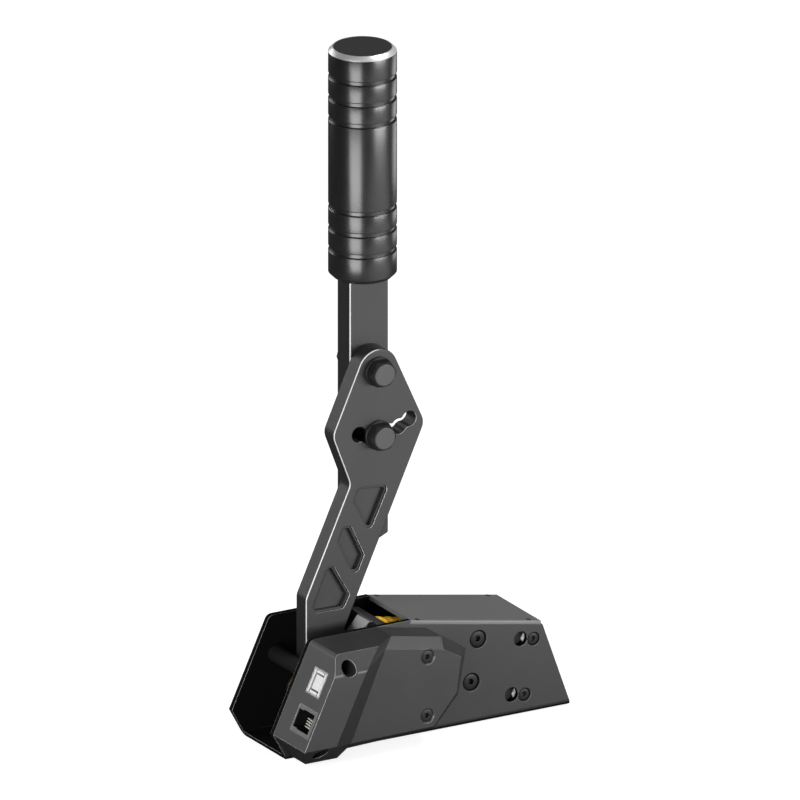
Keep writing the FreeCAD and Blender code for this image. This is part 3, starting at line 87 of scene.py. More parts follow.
def wired(tree, kind, inputs, operation=None):
    """A shader node with its inputs set to values or joined to the outputs of other nodes."""
    node = tree.nodes.new(kind)
    if operation:
        node.operation = operation
    for key, value in inputs.items():
        if isinstance(value, bpy.types.NodeSocket):
            tree.links.new(value, node.inputs[key])
        else:
            node.inputs[key].default_value = value
    return node


def maths(tree, operation, *values):
    """The output of a maths node that works on values and the outputs of other nodes."""
    return wired(tree, "ShaderNodeMath", dict(enumerate(values)), operation).outputs[0]


soft_box("near_box", (0.50, -0.86, 0.06), 1.6, (1.2, 0.4), 26)
soft_box("top_box", (0.46, -0.28, 0.84), 1.5, (0.5, 0.5), 13)
soft_box("rear_box", (0.57, 0.81, 0.20), 1.8, (1.2, 0.6), 0.5)
soft_box("edge_box", (-0.06, 0.81, 0.58), 1.6, (0.4, 0.3), 1.5)
soft_box("front_box", (-0.75, -0.42, 0.50), 1.0, (0.4, 0.4), 2)
soft_box("far_box", (-0.35, 0.92, 0.18), 1.8, (1.2, 0.8), 8)
soft_box("left_strip", (-0.80, -0.60, 0.0), 0.45, (0.30, 0.24), 1.6, aim=(-0.02, 0.01, 0.12))
soft_box("right_strip", (0.974, 0.225, 0.0), 0.70, (0.40, 0.16), 0.3, aim=(-0.02, 0.01, 0.09))

room = bpy.data.worlds.new("room")
bpy.context.scene.world = room
room.use_nodes = True
room_tree = room.node_tree
room_light = room_tree.nodes["Background"]
room_light.inputs["Color"].default_value = (1, 1, 1, 1)
room_rays = room_tree.nodes.new("ShaderNodeLightPath")
room_white = maths(room_tree, "MULTIPLY_ADD", room_rays.outputs["Is Camera Ray"], 0.96, 0.04)
room_tree.links.new(room_white, room_light.inputs["Strength"])

floor_half = 30.0
floor_mesh = bpy.data.meshes.new("floor")
floor_mesh.from_pydata([(-floor_half, -floor_half, 0), (floor_half, -floor_half, 0),
                        (floor_half, floor_half, 0), (-floor_half, floor_half, 0)], [], [(0, 1, 2, 3)])
floor = bpy.data.objects.new("floor", floor_mesh)
bpy.context.scene.collection.objects.link(floor)
floor_paper = bpy.data.materials.new("floor_paper")
floor_paper.use_nodes = True
paper = floor_paper.node_tree
paper.nodes.clear()
patch_middle, patch_end, patch_full = (0.27, -0.52, 0), 0.55, 0.30
paper_rays = paper.nodes.new("ShaderNodeLightPath")
paper_seen = maths(paper, "MAXIMUM", paper_rays.outputs["Is Camera Ray"],
                   paper_rays.outputs["Is Transmission Ray"])
paper_place = paper.nodes.new("ShaderNodeTexCoord")
paper_reach = wired(paper, "ShaderNodeVectorMath", {0: paper_place.outputs["Object"], 1: patch_middle},
                    "DISTANCE")
paper_patch = wired(paper, "ShaderNodeMapRange", {"Value": paper_reach.outputs["Value"],
                                                  "From Min": patch_end, "From Max": patch_full})
paper_mirrored = maths(paper, "MULTIPLY", paper_patch.outputs["Result"],
                       paper_rays.outputs["Is Glossy Ray"])
paper_shade = maths(paper, "MULTIPLY_ADD", paper_rays.outputs["Is Glossy Ray"], -0.45, 0.5)
paper_level = maths(paper, "MULTIPLY", maths(paper, "MAXIMUM", paper_seen, paper_mirrored), 0.8)
paper_matt = wired(paper, "ShaderNodeBsdfDiffuse", {"Color": paper_shade})
paper_glow = wired(paper, "ShaderNodeEmission", {"Strength": paper_level})
paper_sum = wired(paper, "ShaderNodeAddShader", {0: paper_matt.outputs[0], 1: paper_glow.outputs[0]})
wired(paper, "ShaderNodeOutputMaterial", {"Surface": paper_sum.outputs[0]})
floor_mesh.materials.append(floor_paper)

# Chassis: one sheet of 3 mm steel folded to a channel and powder coated a fine satin black.
# The coat is pebbled and a little cloudy, with a painted highlight on its edges and painted shade inside.


def grain_and_light_group():
    """Grain of a finish, fine pebbles and wide clouds of noise, with painted highlight and shade.

    The edge is where the shape's own normal departs from one rounded over a small radius, and
    with a rim also where that normal is slanted from the sides. Where it faces forwards, outwards
    and up, towards the front-left lamps, the edge colour is painted on as a highlight. Nearer the
    middle plane than the skin, edges are painted dark and dull as shade, and so is the rest by the
    share that Inner shade gives.
    """
    group = bpy.data.node_groups.new("grain_and_painted_light", "ShaderNodeTree")
    for name, kind in (("Colour", "Color"), ("Painted edge colour", "Color"), ("Pebble", "Float"),
                       ("Cloud", "Float"), ("Roughness", "Float"), ("Edge roughness", "Float"),
                       ("Edge radius", "Float"), ("Painted edge share", "Float"), ("Rim", "Float"),
                       ("Skin", "Float"), ("Inner shade", "Float")):
        group.interface.new_socket(name, in_out="INPUT", socket_type="NodeSocket" + kind)
    for name, kind in (("Colour", "Color"), ("Roughness", "Float"), ("Height", "Float"),
                       ("Normal", "Vector"), ("Open", "Float")):
        group.interface.new_socket(name, in_out="OUTPUT", socket_type="NodeSocket" + kind)
    nodes, links = group.nodes, group.links
    given, leave = nodes.new("NodeGroupInput").outputs, nodes.new("NodeGroupOutput").inputs
    place = nodes.new("ShaderNodeTexCoord").outputs["Object"]
    pebble = wired(group, "ShaderNodeTexNoise", {
        "Vector": place, "Scale": maths(group, "DIVIDE", 1.0, given["Pebble"]), "Detail": 2.0}).outputs["Fac"]
    cloud = wired(group, "ShaderNodeTexNoise", {
        "Vector": place, "Scale": 60.0, "Detail": 5.0}).outputs["Fac"]
    centred = maths(group, "SUBTRACT", maths(group, "ADD", pebble, cloud), 1.0)
    tint = maths(group, "MULTIPLY_ADD", centred, given["Cloud"], 1.0)

    skin_depth = 0.0004
    outward = maths(group, "ABSOLUTE", wired(group, "ShaderNodeSeparateXYZ", {"Vector": place}).outputs["Y"])
    skin = wired(group, "ShaderNodeMapRange", {
        "Value": outward, "From Min": maths(group, "SUBTRACT", given["Skin"], skin_depth),
        "From Max": given["Skin"]}).outputs["Result"]

    bevel = wired(group, "ShaderNodeBevel", {"Radius": given["Edge radius"]})
    bevel.samples = 6
    rounded = bevel.outputs["Normal"]
    shape = nodes.new("ShaderNodeNewGeometry")
    agree = wired(group, "ShaderNodeVectorMath", {0: rounded, 1: shape.outputs["Normal"]}, "DOT_PRODUCT")
    edge = wired(group, "ShaderNodeMapRange", {
        "Value": agree.outputs["Value"], "From Min": 0.995, "From Max": 0.88}).outputs["Result"]
    tilt = wired(group, "ShaderNodeSeparateXYZ", {"Vector": shape.outputs["True Normal"]})
    slant_middle, slant_spread = 0.70, 0.20
    slant = maths(group, "COMPARE", maths(group, "ABSOLUTE", tilt.outputs["Y"]), slant_middle, slant_spread)
    border = maths(group, "MAXIMUM", edge, maths(group, "MULTIPLY", slant, given["Rim"]))

    # Painted shade: nearer the middle plane than the skin, edges, and the rest by the share of Inner shade,
    # are darkened to 12 %, made dull and given less specular.
    lower = maths(group, "MAXIMUM", edge, given["Inner shade"])
    painted_shade = maths(group, "MULTIPLY", lower, maths(group, "SUBTRACT", 1.0, skin))
    dim = maths(group, "MULTIPLY_ADD", painted_shade, -0.88, 1.0)
    links.new(dim, leave["Open"])
    shade = wired(group, "ShaderNodeVectorMath", {
        0: given["Colour"], "Scale": maths(group, "MULTIPLY", tint, dim)}, "SCALE")

    # Painted highlight: the edge colour is laid on edges that face the front-left lamps; on the cover it is a
    # painted line of shade.
    highlight_way = (-0.88, -0.25, 0.40)
    facing = wired(group, "ShaderNodeVectorMath", {0: rounded, 1: highlight_way}, "DOT_PRODUCT")
    lamp_facing = wired(group, "ShaderNodeMapRange", {
        "Value": facing.outputs["Value"], "From Min": 0.38, "From Max": 0.60}).outputs["Result"]
    reach = maths(group, "MAXIMUM", skin, given["Inner shade"])
    outer = maths(group, "MULTIPLY", maths(group, "MULTIPLY", border, lamp_facing), reach)
    edge_painting = maths(group, "MULTIPLY", outer, given["Painted edge share"])
    colour = nodes.new("ShaderNodeMix")
    colour.data_type = "RGBA"
    links.new(edge_painting, colour.inputs["Factor"])
    links.new(shade.outputs["Vector"], colour.inputs["A"])
    links.new(given["Painted edge colour"], colour.inputs["B"])
    links.new(colour.outputs["Result"], leave["Colour"])

    matt = maths(group, "MULTIPLY_ADD", centred, 0.12, given["Roughness"])
    dull = wired(group, "ShaderNodeMix", {"Factor": painted_shade, "A": matt, "B": 0.9})
    rough = wired(group, "ShaderNodeMix", {
        "Factor": edge_painting, "A": dull.outputs["Result"], "B": given["Edge roughness"]})
    links.new(rough.outputs["Result"], leave["Roughness"])
    links.new(pebble, leave["Height"])
    links.new(rounded, leave["Normal"])
    return group


grain_and_painted_light = grain_and_light_group()


def finish(name, colour, painted_edge_colour, roughness=0.45, edge_roughness=0.3, pebble=0.0004, cloud=0.12,
           relief=0.000012, edge_radius=0.0004, painted_edge_share=0.5, metallic=0.0, specular=0.5,
           coat=0.0, coat_roughness=0.1, rim=0.0, skin=0.0, inner=0.0):
    """A finish of one piece: its colour, gloss and relief come from the group of grain and painted light,
    which paints a highlight along edges, by half unless set otherwise, and shade inside.
    """
    material = bpy.data.materials.new(name)
    material.use_nodes = True
    tree = material.node_tree
    shader = tree.nodes["Principled BSDF"]
    shader.inputs["Metallic"].default_value = metallic
    shader.inputs["Coat Weight"].default_value = coat
    shader.inputs["Coat Roughness"].default_value = coat_roughness
    grain = tree.nodes.new("ShaderNodeGroup")
    grain.node_tree = grain_and_painted_light
    for socket, value in (("Colour", (*colour, 1)), ("Painted edge colour", (*painted_edge_colour, 1)),
                          ("Pebble", pebble), ("Cloud", cloud), ("Roughness", roughness),
                          ("Edge roughness", edge_roughness), ("Edge radius", edge_radius),
                          ("Painted edge share", painted_edge_share), ("Rim", rim), ("Skin", skin), ("Inner shade", inner)):
        grain.inputs[socket].default_value = value
    mirror = maths(tree, "MULTIPLY", grain.outputs["Open"], specular)
    tree.links.new(mirror, shader.inputs["Specular IOR Level"])
    tree.links.new(grain.outputs["Colour"], shader.inputs["Base Color"])
    tree.links.new(grain.outputs["Roughness"], shader.inputs["Roughness"])
    bump = wired(tree, "ShaderNodeBump", {"Distance": relief, "Height": grain.outputs["Height"],
                                          "Normal": grain.outputs["Normal"]})
    tree.links.new(bump.outputs["Normal"], shader.inputs["Normal"])
    return material


def dress(material, *names):
    """Gives carried-over CAD nodes their finish."""
    for name in names:
        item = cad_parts[name]
        item.data.materials.clear()
        item.data.materials.append(material)


# Painted highlight along the outer edges; inside the outer faces everything is painted dark as shade.
chassis_coat = finish("chassis_coat", (0.021, 0.021, 0.0215), (0.40, 0.40, 0.41), roughness=0.45,
                      edge_roughness=0.3, cloud=0.10, painted_edge_share=0.9, skin=0.02245, inner=1.0)
dress(chassis_coat, "chassis")

# Press nuts: zinc plated steel, pressed into the four holes of the chassis floor.
press_nut_zinc = finish("press_nut_zinc", (0.55, 0.56, 0.58), (0.8, 0.8, 0.8), roughness=0.32,
                        cloud=0.18, metallic=1.0)
dress(press_nut_zinc, "base_nuts")

# Top cover: a 2 mm plate, powder coated, laid flush between its side plates' ends and held by
# four tiny countersunk screws. Its grey, lighter than the chassis, is painted light falling on
# the top, and its edges carry a painted line of shade.
cover_lit_grey = finish("cover_lit_grey", (0.128, 0.128, 0.129), (0.012, 0.012, 0.012), roughness=0.5,
                    edge_roughness=0.5, cloud=0.10, painted_edge_share=0.8)
dress(cover_lit_grey, "top_cover")

# Countersunk screws with hexagon sockets, black oxidised steel: four small ones in the
# cover, M5 in the guide block, M4 in the end block, standoffs and housing, M3 in the stop pin.


def grid_mesh(name, points, crease=32):
    """A closed mesh from a grid of points: rows run from one pole to the other, columns go round.

    Neighbours in the grid are joined by four-sided faces, the last column to the first, and
    the points of a row that is a pole are merged into one. Edges that turn by more than the
    crease angle in degrees stay sharp.
    """
    rows, columns = points.shape[:2]
    index = np.arange(rows * columns).reshape(rows, columns)
    after = np.roll(index, -1, axis=1)
    faces = np.stack([index[:-1], after[:-1], after[1:], index[1:]], axis=-1).reshape(-1, 4)
    mesh = bpy.data.meshes.new(name)
    mesh.from_pydata(points.reshape(-1, 3).tolist(), [], faces.tolist())
    work = bmesh.new()
    work.from_mesh(mesh)
    bmesh.ops.remove_doubles(work, verts=work.verts, dist=1e-7)
    bmesh.ops.recalc_face_normals(work, faces=work.faces)
    work.to_mesh(mesh)
    work.free()
    mesh.polygons.foreach_set("use_smooth", np.ones(len(mesh.polygons), bool))
    mesh.set_sharp_from_angle(angle=math.radians(crease))
    return mesh


def aimed(points, foot, axis):
    """Points built about +Z, carried over so that +Z lies along an axis and the origin at a foot.

    The new X is square to the axis and to the world's Y, or to its Z where the axis is along Y.
    """
    along = np.asarray(axis, float) / np.linalg.norm(axis)
    level = np.array((0.0, 1.0, 0.0)) if abs(along[1]) < 0.9 else np.array((0.0, 0.0, 1.0))
    first = np.cross(level, along)
    first /= np.linalg.norm(first)
    return np.asarray(foot) + points @ np.array([first, np.cross(along, first), along])


def joined(name, meshes, material, body, slot_name, *nodes):
    """One visible piece made of several meshes that ride together and stand for CAD nodes."""
    work = bmesh.new()
    for mesh in meshes:
        work.from_mesh(mesh)
    whole = bpy.data.meshes.new(name)
    work.to_mesh(whole)
    work.free()
    whole.materials.append(material)
    piece = bpy.data.objects.new(name, whole)
    bpy.context.scene.collection.objects.link(piece)
    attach(piece, body)
    if nodes:
        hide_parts(*nodes)
    return piece


def hexagon_reach(across, angle):
    """Distance from a hexagon's middle to its edge in a direction: half the width across flats
    over the cosine of the angle from the nearest flat's middle."""
    return across / 2 / np.cos(np.mod(angle, np.pi / 3) - np.pi / 6)


def socket_screw(head_r, shank_r, length, socket):
    """A countersunk screw's surface, its head's top at height 0: a row for each change of radius.

    Rows go from the tip up the shank, out along the head's cone to a small flat rim, in over
    the top to the socket's hexagon, and down its walls to a shallow drilled cone.
    """
    angle = 2 * np.pi * np.arange(96) / 96
    ring = np.ones_like(angle)
    hexagon = hexagon_reach(socket, angle)
    rim = 0.05 * head_r
    radii = [0 * ring, 0.8 * shank_r * ring, shank_r * ring, shank_r * ring, (head_r - 0.3 * rim) * ring,
             head_r * ring, (head_r - rim) * ring, 1.06 * hexagon, hexagon, hexagon, 0 * ring]
    heights = [-length, -length, -length + 0.2 * shank_r, shank_r - head_r, -1.4 * rim, -0.6 * rim,
               0.0, 0.0, -0.06 * socket, -0.55 * head_r, -0.55 * head_r - 0.15 * socket]
    return np.array([np.stack([r * np.cos(angle), r * np.sin(angle), ring * z], axis=-1)
                     for r, z in zip(radii, heights)])


nose = np.array((-0.0456366, 0.0, 0.0473617))
spring_slope = math.radians(10.3)
spring_way = np.array((math.cos(spring_slope), 0.0, -math.sin(spring_slope)))
spring_up = np.array((math.sin(spring_slope), 0.0, math.cos(spring_slope)))


def spring_line_place(along, above, outward):
    """A point in the base from its distance along the spring's axis, above it, and its Y."""
    return (nose[0] + along * math.cos(spring_slope) + above * math.sin(spring_slope), outward,
            nose[2] - along * math.sin(spring_slope) + above * math.cos(spring_slope))


# Its edges carry a faint painted highlight.
black_oxide = finish("black_oxide", (0.014, 0.014, 0.0145), (0.10, 0.10, 0.10), roughness=0.45,
                     edge_roughness=0.3, cloud=0.2, edge_radius=0.0002, painted_edge_share=0.5, specular=0.22)
cover_face = 0.021454
cover_screw = socket_screw(head_r=0.0015, shank_r=0.0008, length=0.0060, socket=0.0009)
cover_screws = [grid_mesh("cover_screw", aimed(cover_screw, spring_line_place(along, cover_face, y),
                                               spring_up))
                for along in (0.0366116, 0.1027482) for y in (-0.0205, 0.0205)]
joined("cover_screws", cover_screws, black_oxide, "base", "black_steel", "top_cover_screws")

head_face = 0.0219
guide_rows, end_rows = (0.0114, -0.0114), (0.0116, -0.018)
guide_along, end_along, standoff_along = 0.0737, 0.1066, 0.09885


def side_screw_row(name, screw, along, rows, sides, node):
    """Screws in the side plates, with their heads sunk a little below the outer faces."""
    meshes = []
    for above in rows:
        for side in sides:
            foot = spring_line_place(along, above, side * head_face)
            meshes.append(grid_mesh(name, aimed(screw, foot, (0, side, 0))))
    return joined(name, meshes, black_oxide, "base", "black_steel", node)


screw_m5 = socket_screw(head_r=0.0041, shank_r=0.0025, length=0.0115, socket=0.0030)
screw_m4 = socket_screw(head_r=0.0030, shank_r=0.0020, length=0.0110, socket=0.0025)
side_screw_row("guide_block_screws", screw_m5, guide_along, guide_rows, (-1, 1), "guide_screws")
side_screw_row("end_screws", screw_m4, end_along, end_rows, (-1, 1), "end_block_screws")
side_screw_row("far_standoff_screws", screw_m4, standoff_along, end_rows, (1,), "standoff_screws")

# Pivot: a ground steel shaft in two flanged bronze bushes, with spacers either side of the
# lever and a spring clip outside each plate. A small magnet in its end turns with it.
ground_steel = finish("ground_steel", (0.56, 0.57, 0.58), (0.75, 0.75, 0.75), roughness=0.25,
                      cloud=0.15, metallic=1.0)
dress(ground_steel, "pivot_shaft", "pivot_spacers", "sensor_magnet")
# The bushes' bronze is painted nearly black, as the shade they sit in between the plates.
shaded_bronze = finish("shaded_bronze", (0.07, 0.048, 0.028), (0.15, 0.10, 0.06), roughness=0.55, cloud=0.3,
                     metallic=1.0)
dress(shaded_bronze, "pivot_bushes", "guide_bush")
dress(black_oxide, "circlips")

# Lever arm: a 10 mm plate of aluminium, cut to shape, with stepped pockets milled in both
# faces. It is anodised a deep satin black, with a painted highlight along its chamfered rim
# and painted shade along the edges within its pockets.
lever_anodising = finish("lever_anodising", (0.016, 0.016, 0.0165), (0.72, 0.72, 0.73),
                         roughness=0.45, edge_roughness=0.2, pebble=0.0003, cloud=0.10,
                         edge_radius=0.0005, painted_edge_share=1.0, rim=1.0, skin=0.0049)
dress(lever_anodising, "lever_arm")

# Handle bar: a flat aluminium bar with broken front edges, anodised like the lever and
# clamped flat against its far face.
# Its broken front edges and chamfers carry a painted highlight.
bar_anodising = finish("bar_anodising", (0.013, 0.013, 0.0133), (0.50, 0.50, 0.51), roughness=0.45,
                       edge_roughness=0.2, pebble=0.0003, cloud=0.08, edge_radius=0.0004, painted_edge_share=1.0,
                       rim=1.0)
dress(bar_anodising, "handle_bar")

# Clamp bolts: M8 hexagon bolts with round chamfered heads, black, each with a washer under its
# head and another under its nut on the far side of the bar. The lower one is thinner within the
# lever's slot.


def hexagon_head(across, height, face_r, bore_r=0.0):
    """A hexagon head or nut standing on height 0, with its top corners turned off to a circle.

    The side follows the hexagon. Above the cut its edge drops by its distance outside
    the face circle, which leaves the scallops that a turned chamfer gives.
    """
    angle = 2 * np.pi * np.arange(144) / 144
    ring = np.ones_like(angle)
    hexagon = hexagon_reach(across, angle)
    drop = np.maximum(hexagon - face_r, 0)
    lip = 0.02 * across
    radii = [bore_r * ring, hexagon - lip, hexagon, hexagon, hexagon - 0.4 * lip,
             np.minimum(hexagon, face_r) * ring, (face_r - lip) * ring, bore_r * ring]
    heights = [0 * ring, 0 * ring, lip * ring, height - drop - 1.2 * lip, height - drop - 0.5 * lip,
               height - 0.5 * lip * ring, height * ring, height * ring]
    if bore_r:
        radii.append(bore_r * ring)
        heights.append(0 * ring)
    return np.array([np.stack([r * np.cos(angle), r * np.sin(angle), z], axis=-1)
                     for r, z in zip(radii, heights)])


def turned_rows(profile, columns=128):
    """A turned surface: each (radius, height) of a profile is carried round the axis."""
    angle = 2 * np.pi * np.arange(columns) / columns
    return np.array([np.stack([r * np.cos(angle), r * np.sin(angle), np.full(columns, z)], axis=-1)
                     for r, z in profile])


def washer_rows(outer_r, inner_r, thickness):
    """A flat ring with its four edges broken by 12 % of its thickness, as a closed turned loop."""
    lip = 0.12 * thickness
    return turned_rows([(inner_r, lip), (inner_r + lip, 0), (outer_r - lip, 0), (outer_r, lip),
                        (outer_r, thickness - lip), (outer_r - lip, thickness),
                        (inner_r + lip, thickness), (inner_r, thickness - lip), (inner_r, lip)])


bolt_spots = ((-0.0196, 0.1933), (-0.0196, 0.1591))
lever_face, bar_face = -0.0050, 0.01808
across_flats, face_r, nut_bore_r = 0.013, 0.0057, 0.00404
washer_t, bolt_r, tip_r = 0.0017, 0.0040, 0.0036
waist_end, thread_end, bolt_end = 0.01004, 0.0325, 0.03298
washer_shape = washer_rows(0.0078, nut_bore_r, washer_t)
head_meshes, washer_meshes, nut_meshes = [], [], []
for (x, z), waist_r in zip(bolt_spots, (bolt_r, 0.0032)):
    head_meshes.append(grid_mesh("bolt_head", aimed(hexagon_head(across_flats, 0.0058, face_r),
                                                    (x, lever_face - washer_t, z), (0, -1, 0)), crease=14))
    body_rows = [(0, -washer_t), (waist_r, -washer_t), (waist_r, waist_end), (bolt_r, waist_end),
                 (bolt_r, thread_end), (tip_r, bolt_end), (0, bolt_end)]
    head_meshes.append(grid_mesh("bolt_body", aimed(turned_rows(body_rows), (x, lever_face, z), (0, 1, 0))))
    for low in (lever_face - washer_t, bar_face):
        washer_meshes.append(grid_mesh("washer", aimed(washer_shape, (x, low, z), (0, 1, 0))))
    nut_meshes.append(grid_mesh("nut", aimed(hexagon_head(across_flats, 0.0065, face_r, nut_bore_r),
                                             (x, bar_face + washer_t, z), (0, 1, 0)), crease=14))
# Painted shade: the heads' hexagon sides, nearer the lever than their faces, are darkened as shade.
bolt_black = finish("bolt_black", (0.042, 0.042, 0.043), (0.25, 0.25, 0.25), roughness=0.36,
                    edge_roughness=0.25, cloud=0.2, edge_radius=0.0002, painted_edge_share=0.0,
                    skin=0.01245, inner=0.8)
joined("clamp_bolt_heads", head_meshes, bolt_black, "handle", "black_steel", "clamp_bolts")
joined("clamp_washers", washer_meshes, black_oxide, "handle", "black_steel", "bolt_washers")
joined("clamp_bolt_nuts", nut_meshes, black_oxide, "handle", "black_steel", "clamp_nuts")

# Grip: a turned aluminium sleeve, anodised and polished to a glossy black, with three
# grooves near each end and a bright chamfer at the top. Its cap is a matt disc.


def groove_profile(height, radius, half_width, depth, lip):
    """One round-lipped groove in a turned profile: down a quarter arc, along its floor and up."""
    turn = np.linspace(0, np.pi / 2, 5)
    low = [(radius - lip + lip * math.cos(a), height - half_width - lip + lip * math.sin(a))
           for a in turn]
    high = [(radius - lip + lip * math.cos(a), height + half_width + lip - lip * math.sin(a))
            for a in turn[::-1]]
    return low + [(radius - depth, height - half_width), (radius - depth, height + half_width)] + high


def grip_piece(name, profile, material, slot_name, node):
    """A piece of the grip, turned about the grip's axis."""
    rows = turned_rows(profile, 256) + np.array((-0.0191, 0.01158, 0))
    return joined(name, [grid_mesh(name, rows)], material, "handle", slot_name, node)


grip_r, grip_low, grip_high, ring_low = 0.0175, 0.2401, 0.3631, 0.3609
grip_profile = [(0.0112, grip_low), (0.0150, grip_low), (0.0152, grip_low + 0.0001),
                (0.0174, grip_low + 0.0023), (0.0175, grip_low + 0.0025)]
for groove_height in (0.2555, 0.2669, 0.2783, 0.3258, 0.3371, 0.3486):
    grip_profile += groove_profile(groove_height, grip_r, half_width=0.0010, depth=0.0009, lip=0.0006)
grip_profile += [(0.0175, 0.3606), (0.01745, ring_low), (0.0150, ring_low), (0.01494, 0.3600),
                 (0.0100, 0.3600)]
# The grip's groove lips and edges carry a faint painted highlight.
grip_gloss = finish("grip_gloss", (0.012, 0.012, 0.0125), (0.35, 0.35, 0.35), roughness=0.3,
                    edge_roughness=0.2, pebble=0.0006, cloud=0.1, relief=0.000002, edge_radius=0.0002,
                    painted_edge_share=0.25, coat=0.6, coat_roughness=0.22)
grip_piece("grip_tube", grip_profile, grip_gloss, "grip_black", "grip_sleeve")
ring_profile = [(0.0150, ring_low), (0.01745, ring_low), (0.0174, 0.36105), (0.01545, 0.36295),
                (0.0153, grip_high), (0.01495, grip_high), (0.0150, ring_low)]
ring_bare = finish("ring_bare", (0.85, 0.85, 0.86), (0.9, 0.9, 0.9), roughness=0.35,
                   edge_roughness=0.3, pebble=0.0006, cloud=0.06, relief=0.000001,
                   edge_radius=0.0001, painted_edge_share=0.3, metallic=0.65)
grip_piece("grip_top_ring", ring_profile, ring_bare, "grip_black", "grip_sleeve")
cap_profile = [(0, 0.3601), (0.0149, 0.3601), (0.0149, 0.3629), (0.0147, grip_high), (0, grip_high)]
cap_matt = finish("cap_matt", (0.028, 0.028, 0.0285), (0.10, 0.10, 0.10), roughness=0.6,
                  edge_radius=0.0002, painted_edge_share=0.2)
grip_piece("grip_end_disc", cap_profile, cap_matt, "cap_black", "grip_cap")
dress(black_oxide, "grip_bolt")

# Push rod: a bright aluminium block that the lever's nose pushes, a dark plate that holds the
# spring, and a ground rod that slides in the guide, with a washer and nut.
block_aluminium = finish("block_aluminium", (0.26, 0.26, 0.27), (0.7, 0.7, 0.7), roughness=0.38,
                         pebble=0.0003, cloud=0.12, metallic=1.0)
dress(block_aluminium, "push_block")
plate_dark = finish("plate_dark", (0.028, 0.028, 0.029), (0.16, 0.16, 0.16), roughness=0.4)
dress(plate_dark, "spring_plate")
dress(ground_steel, "plunger_rod")
nut_zinc = finish("nut_zinc", (0.60, 0.61, 0.62), (0.85, 0.85, 0.85), roughness=0.28, cloud=0.2,
                  metallic=1.0)
dress(nut_zinc, "rod_washer", "rod_nut", "stop_screw", "stop_lock_nut")

# Spring: round steel wire wound to six and a quarter turns, its end turns closed and ground
# flat, powder coated yellow.


def spring_wire(turn_count, coil_r, wire_r, start, length, sink, closed_pitch, steps=40, sides=20):
    """The wire's surface: a circle carried along a helix.

    The helix rises by the closed pitch over its first and last turn and by what is left in
    between, with a smooth change of pitch, and the ends past the seats are pressed flat.
    """
    count = int(turn_count * steps) + 1
    turn = np.linspace(0, turn_count, count)
    lift = length + 2 * (sink - wire_r)
    open_pitch = (lift - 2 * closed_pitch) / (turn_count - 2)
    blend = np.clip((turn - 0.85) / 0.3, 0, 1) * np.clip((turn_count - 0.85 - turn) / 0.3, 0, 1)
    pitch = closed_pitch + (open_pitch - closed_pitch) * blend
    rise = np.concatenate([[0], np.cumsum((pitch[1:] + pitch[:-1]) / 2 * np.diff(turn))])
    rise *= lift / rise[-1]
    angle = 2 * np.pi * turn
    outward = np.stack([np.zeros(count), np.cos(angle), np.sin(angle)], axis=-1)
    centre = coil_r * outward
    centre[:, 0] = start - sink + wire_r + rise
    way = np.gradient(centre, axis=0)
    way /= np.linalg.norm(way, axis=1, keepdims=True)
    side = np.cross(way, outward)
    around = 2 * np.pi * np.arange(sides) / sides
    surface = (centre[:, None] + wire_r * (np.cos(around)[None, :, None] * outward[:, None]
                                           + np.sin(around)[None, :, None] * side[:, None]))
    ends = np.stack([np.repeat(centre[:1], sides, 0), np.repeat(centre[-1:], sides, 0)])
    surface = np.concatenate([ends[:1], surface, ends[1:]])
    surface[..., 0] = np.clip(surface[..., 0], start, start + length)
    return surface


coil = spring_wire(turn_count=6.25, coil_r=0.0135, wire_r=0.0025, start=0.0264, length=0.0408,
                   sink=0.0011, closed_pitch=0.00555)
coil = nose + coil @ np.array([spring_way, (0.0, 1.0, 0.0), spring_up])
spring_yellow = finish("spring_yellow", (1.0, 0.56, 0.006), (1.0, 0.66, 0.05), roughness=0.35,
                       edge_roughness=0.3, pebble=0.0005, cloud=0.1, edge_radius=0.0002, painted_edge_share=0.1,
                       coat=0.3)
spring_piece = joined("coil_spring", [grid_mesh("coil_spring", coil)], spring_yellow, "base",
                      "spring_yellow", "spring")
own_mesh(spring_piece)

# Guide block, end block and front stop: black aluminium blocks screwed between the side
# plates, a rubber pad on the end screw, and a pin in a rubber sleeve close before the lever.
block_black = finish("block_black", (0.014, 0.014, 0.0145), (0.10, 0.10, 0.10), roughness=0.5)
dress(block_black, "guide_block", "end_block")
dress(black_oxide, "cross_standoffs")
nut_shape = hexagon_head(0.0096, 0.0015, 0.0050)
nut_foot = 0.01805
insert_nuts = [grid_mesh("insert_nut", aimed(nut_shape, spring_line_place(end_along, above, y),
                                             (0, math.copysign(1, y), 0)))
               for above in end_rows for y in (-nut_foot, nut_foot)]
# The insert nuts are painted near white as the glint seen on them.
insert_glint_white = finish("insert_glint_white", (0.80, 0.80, 0.80), (0.9, 0.9, 0.9), roughness=0.35,
                       metallic=0.2)
joined("end_block_insert_nuts", insert_nuts, insert_glint_white, "base", "zinc_steel")
pad_rubber = finish("pad_rubber", (0.008, 0.008, 0.008), (0.02, 0.02, 0.02), roughness=0.8,
                    pebble=0.0006, specular=0.1)
dress(pad_rubber, "bump_pad", "stop_sleeve")
dress(ground_steel, "front_stop_pin")
dress(black_oxide, "stop_pin_screws")

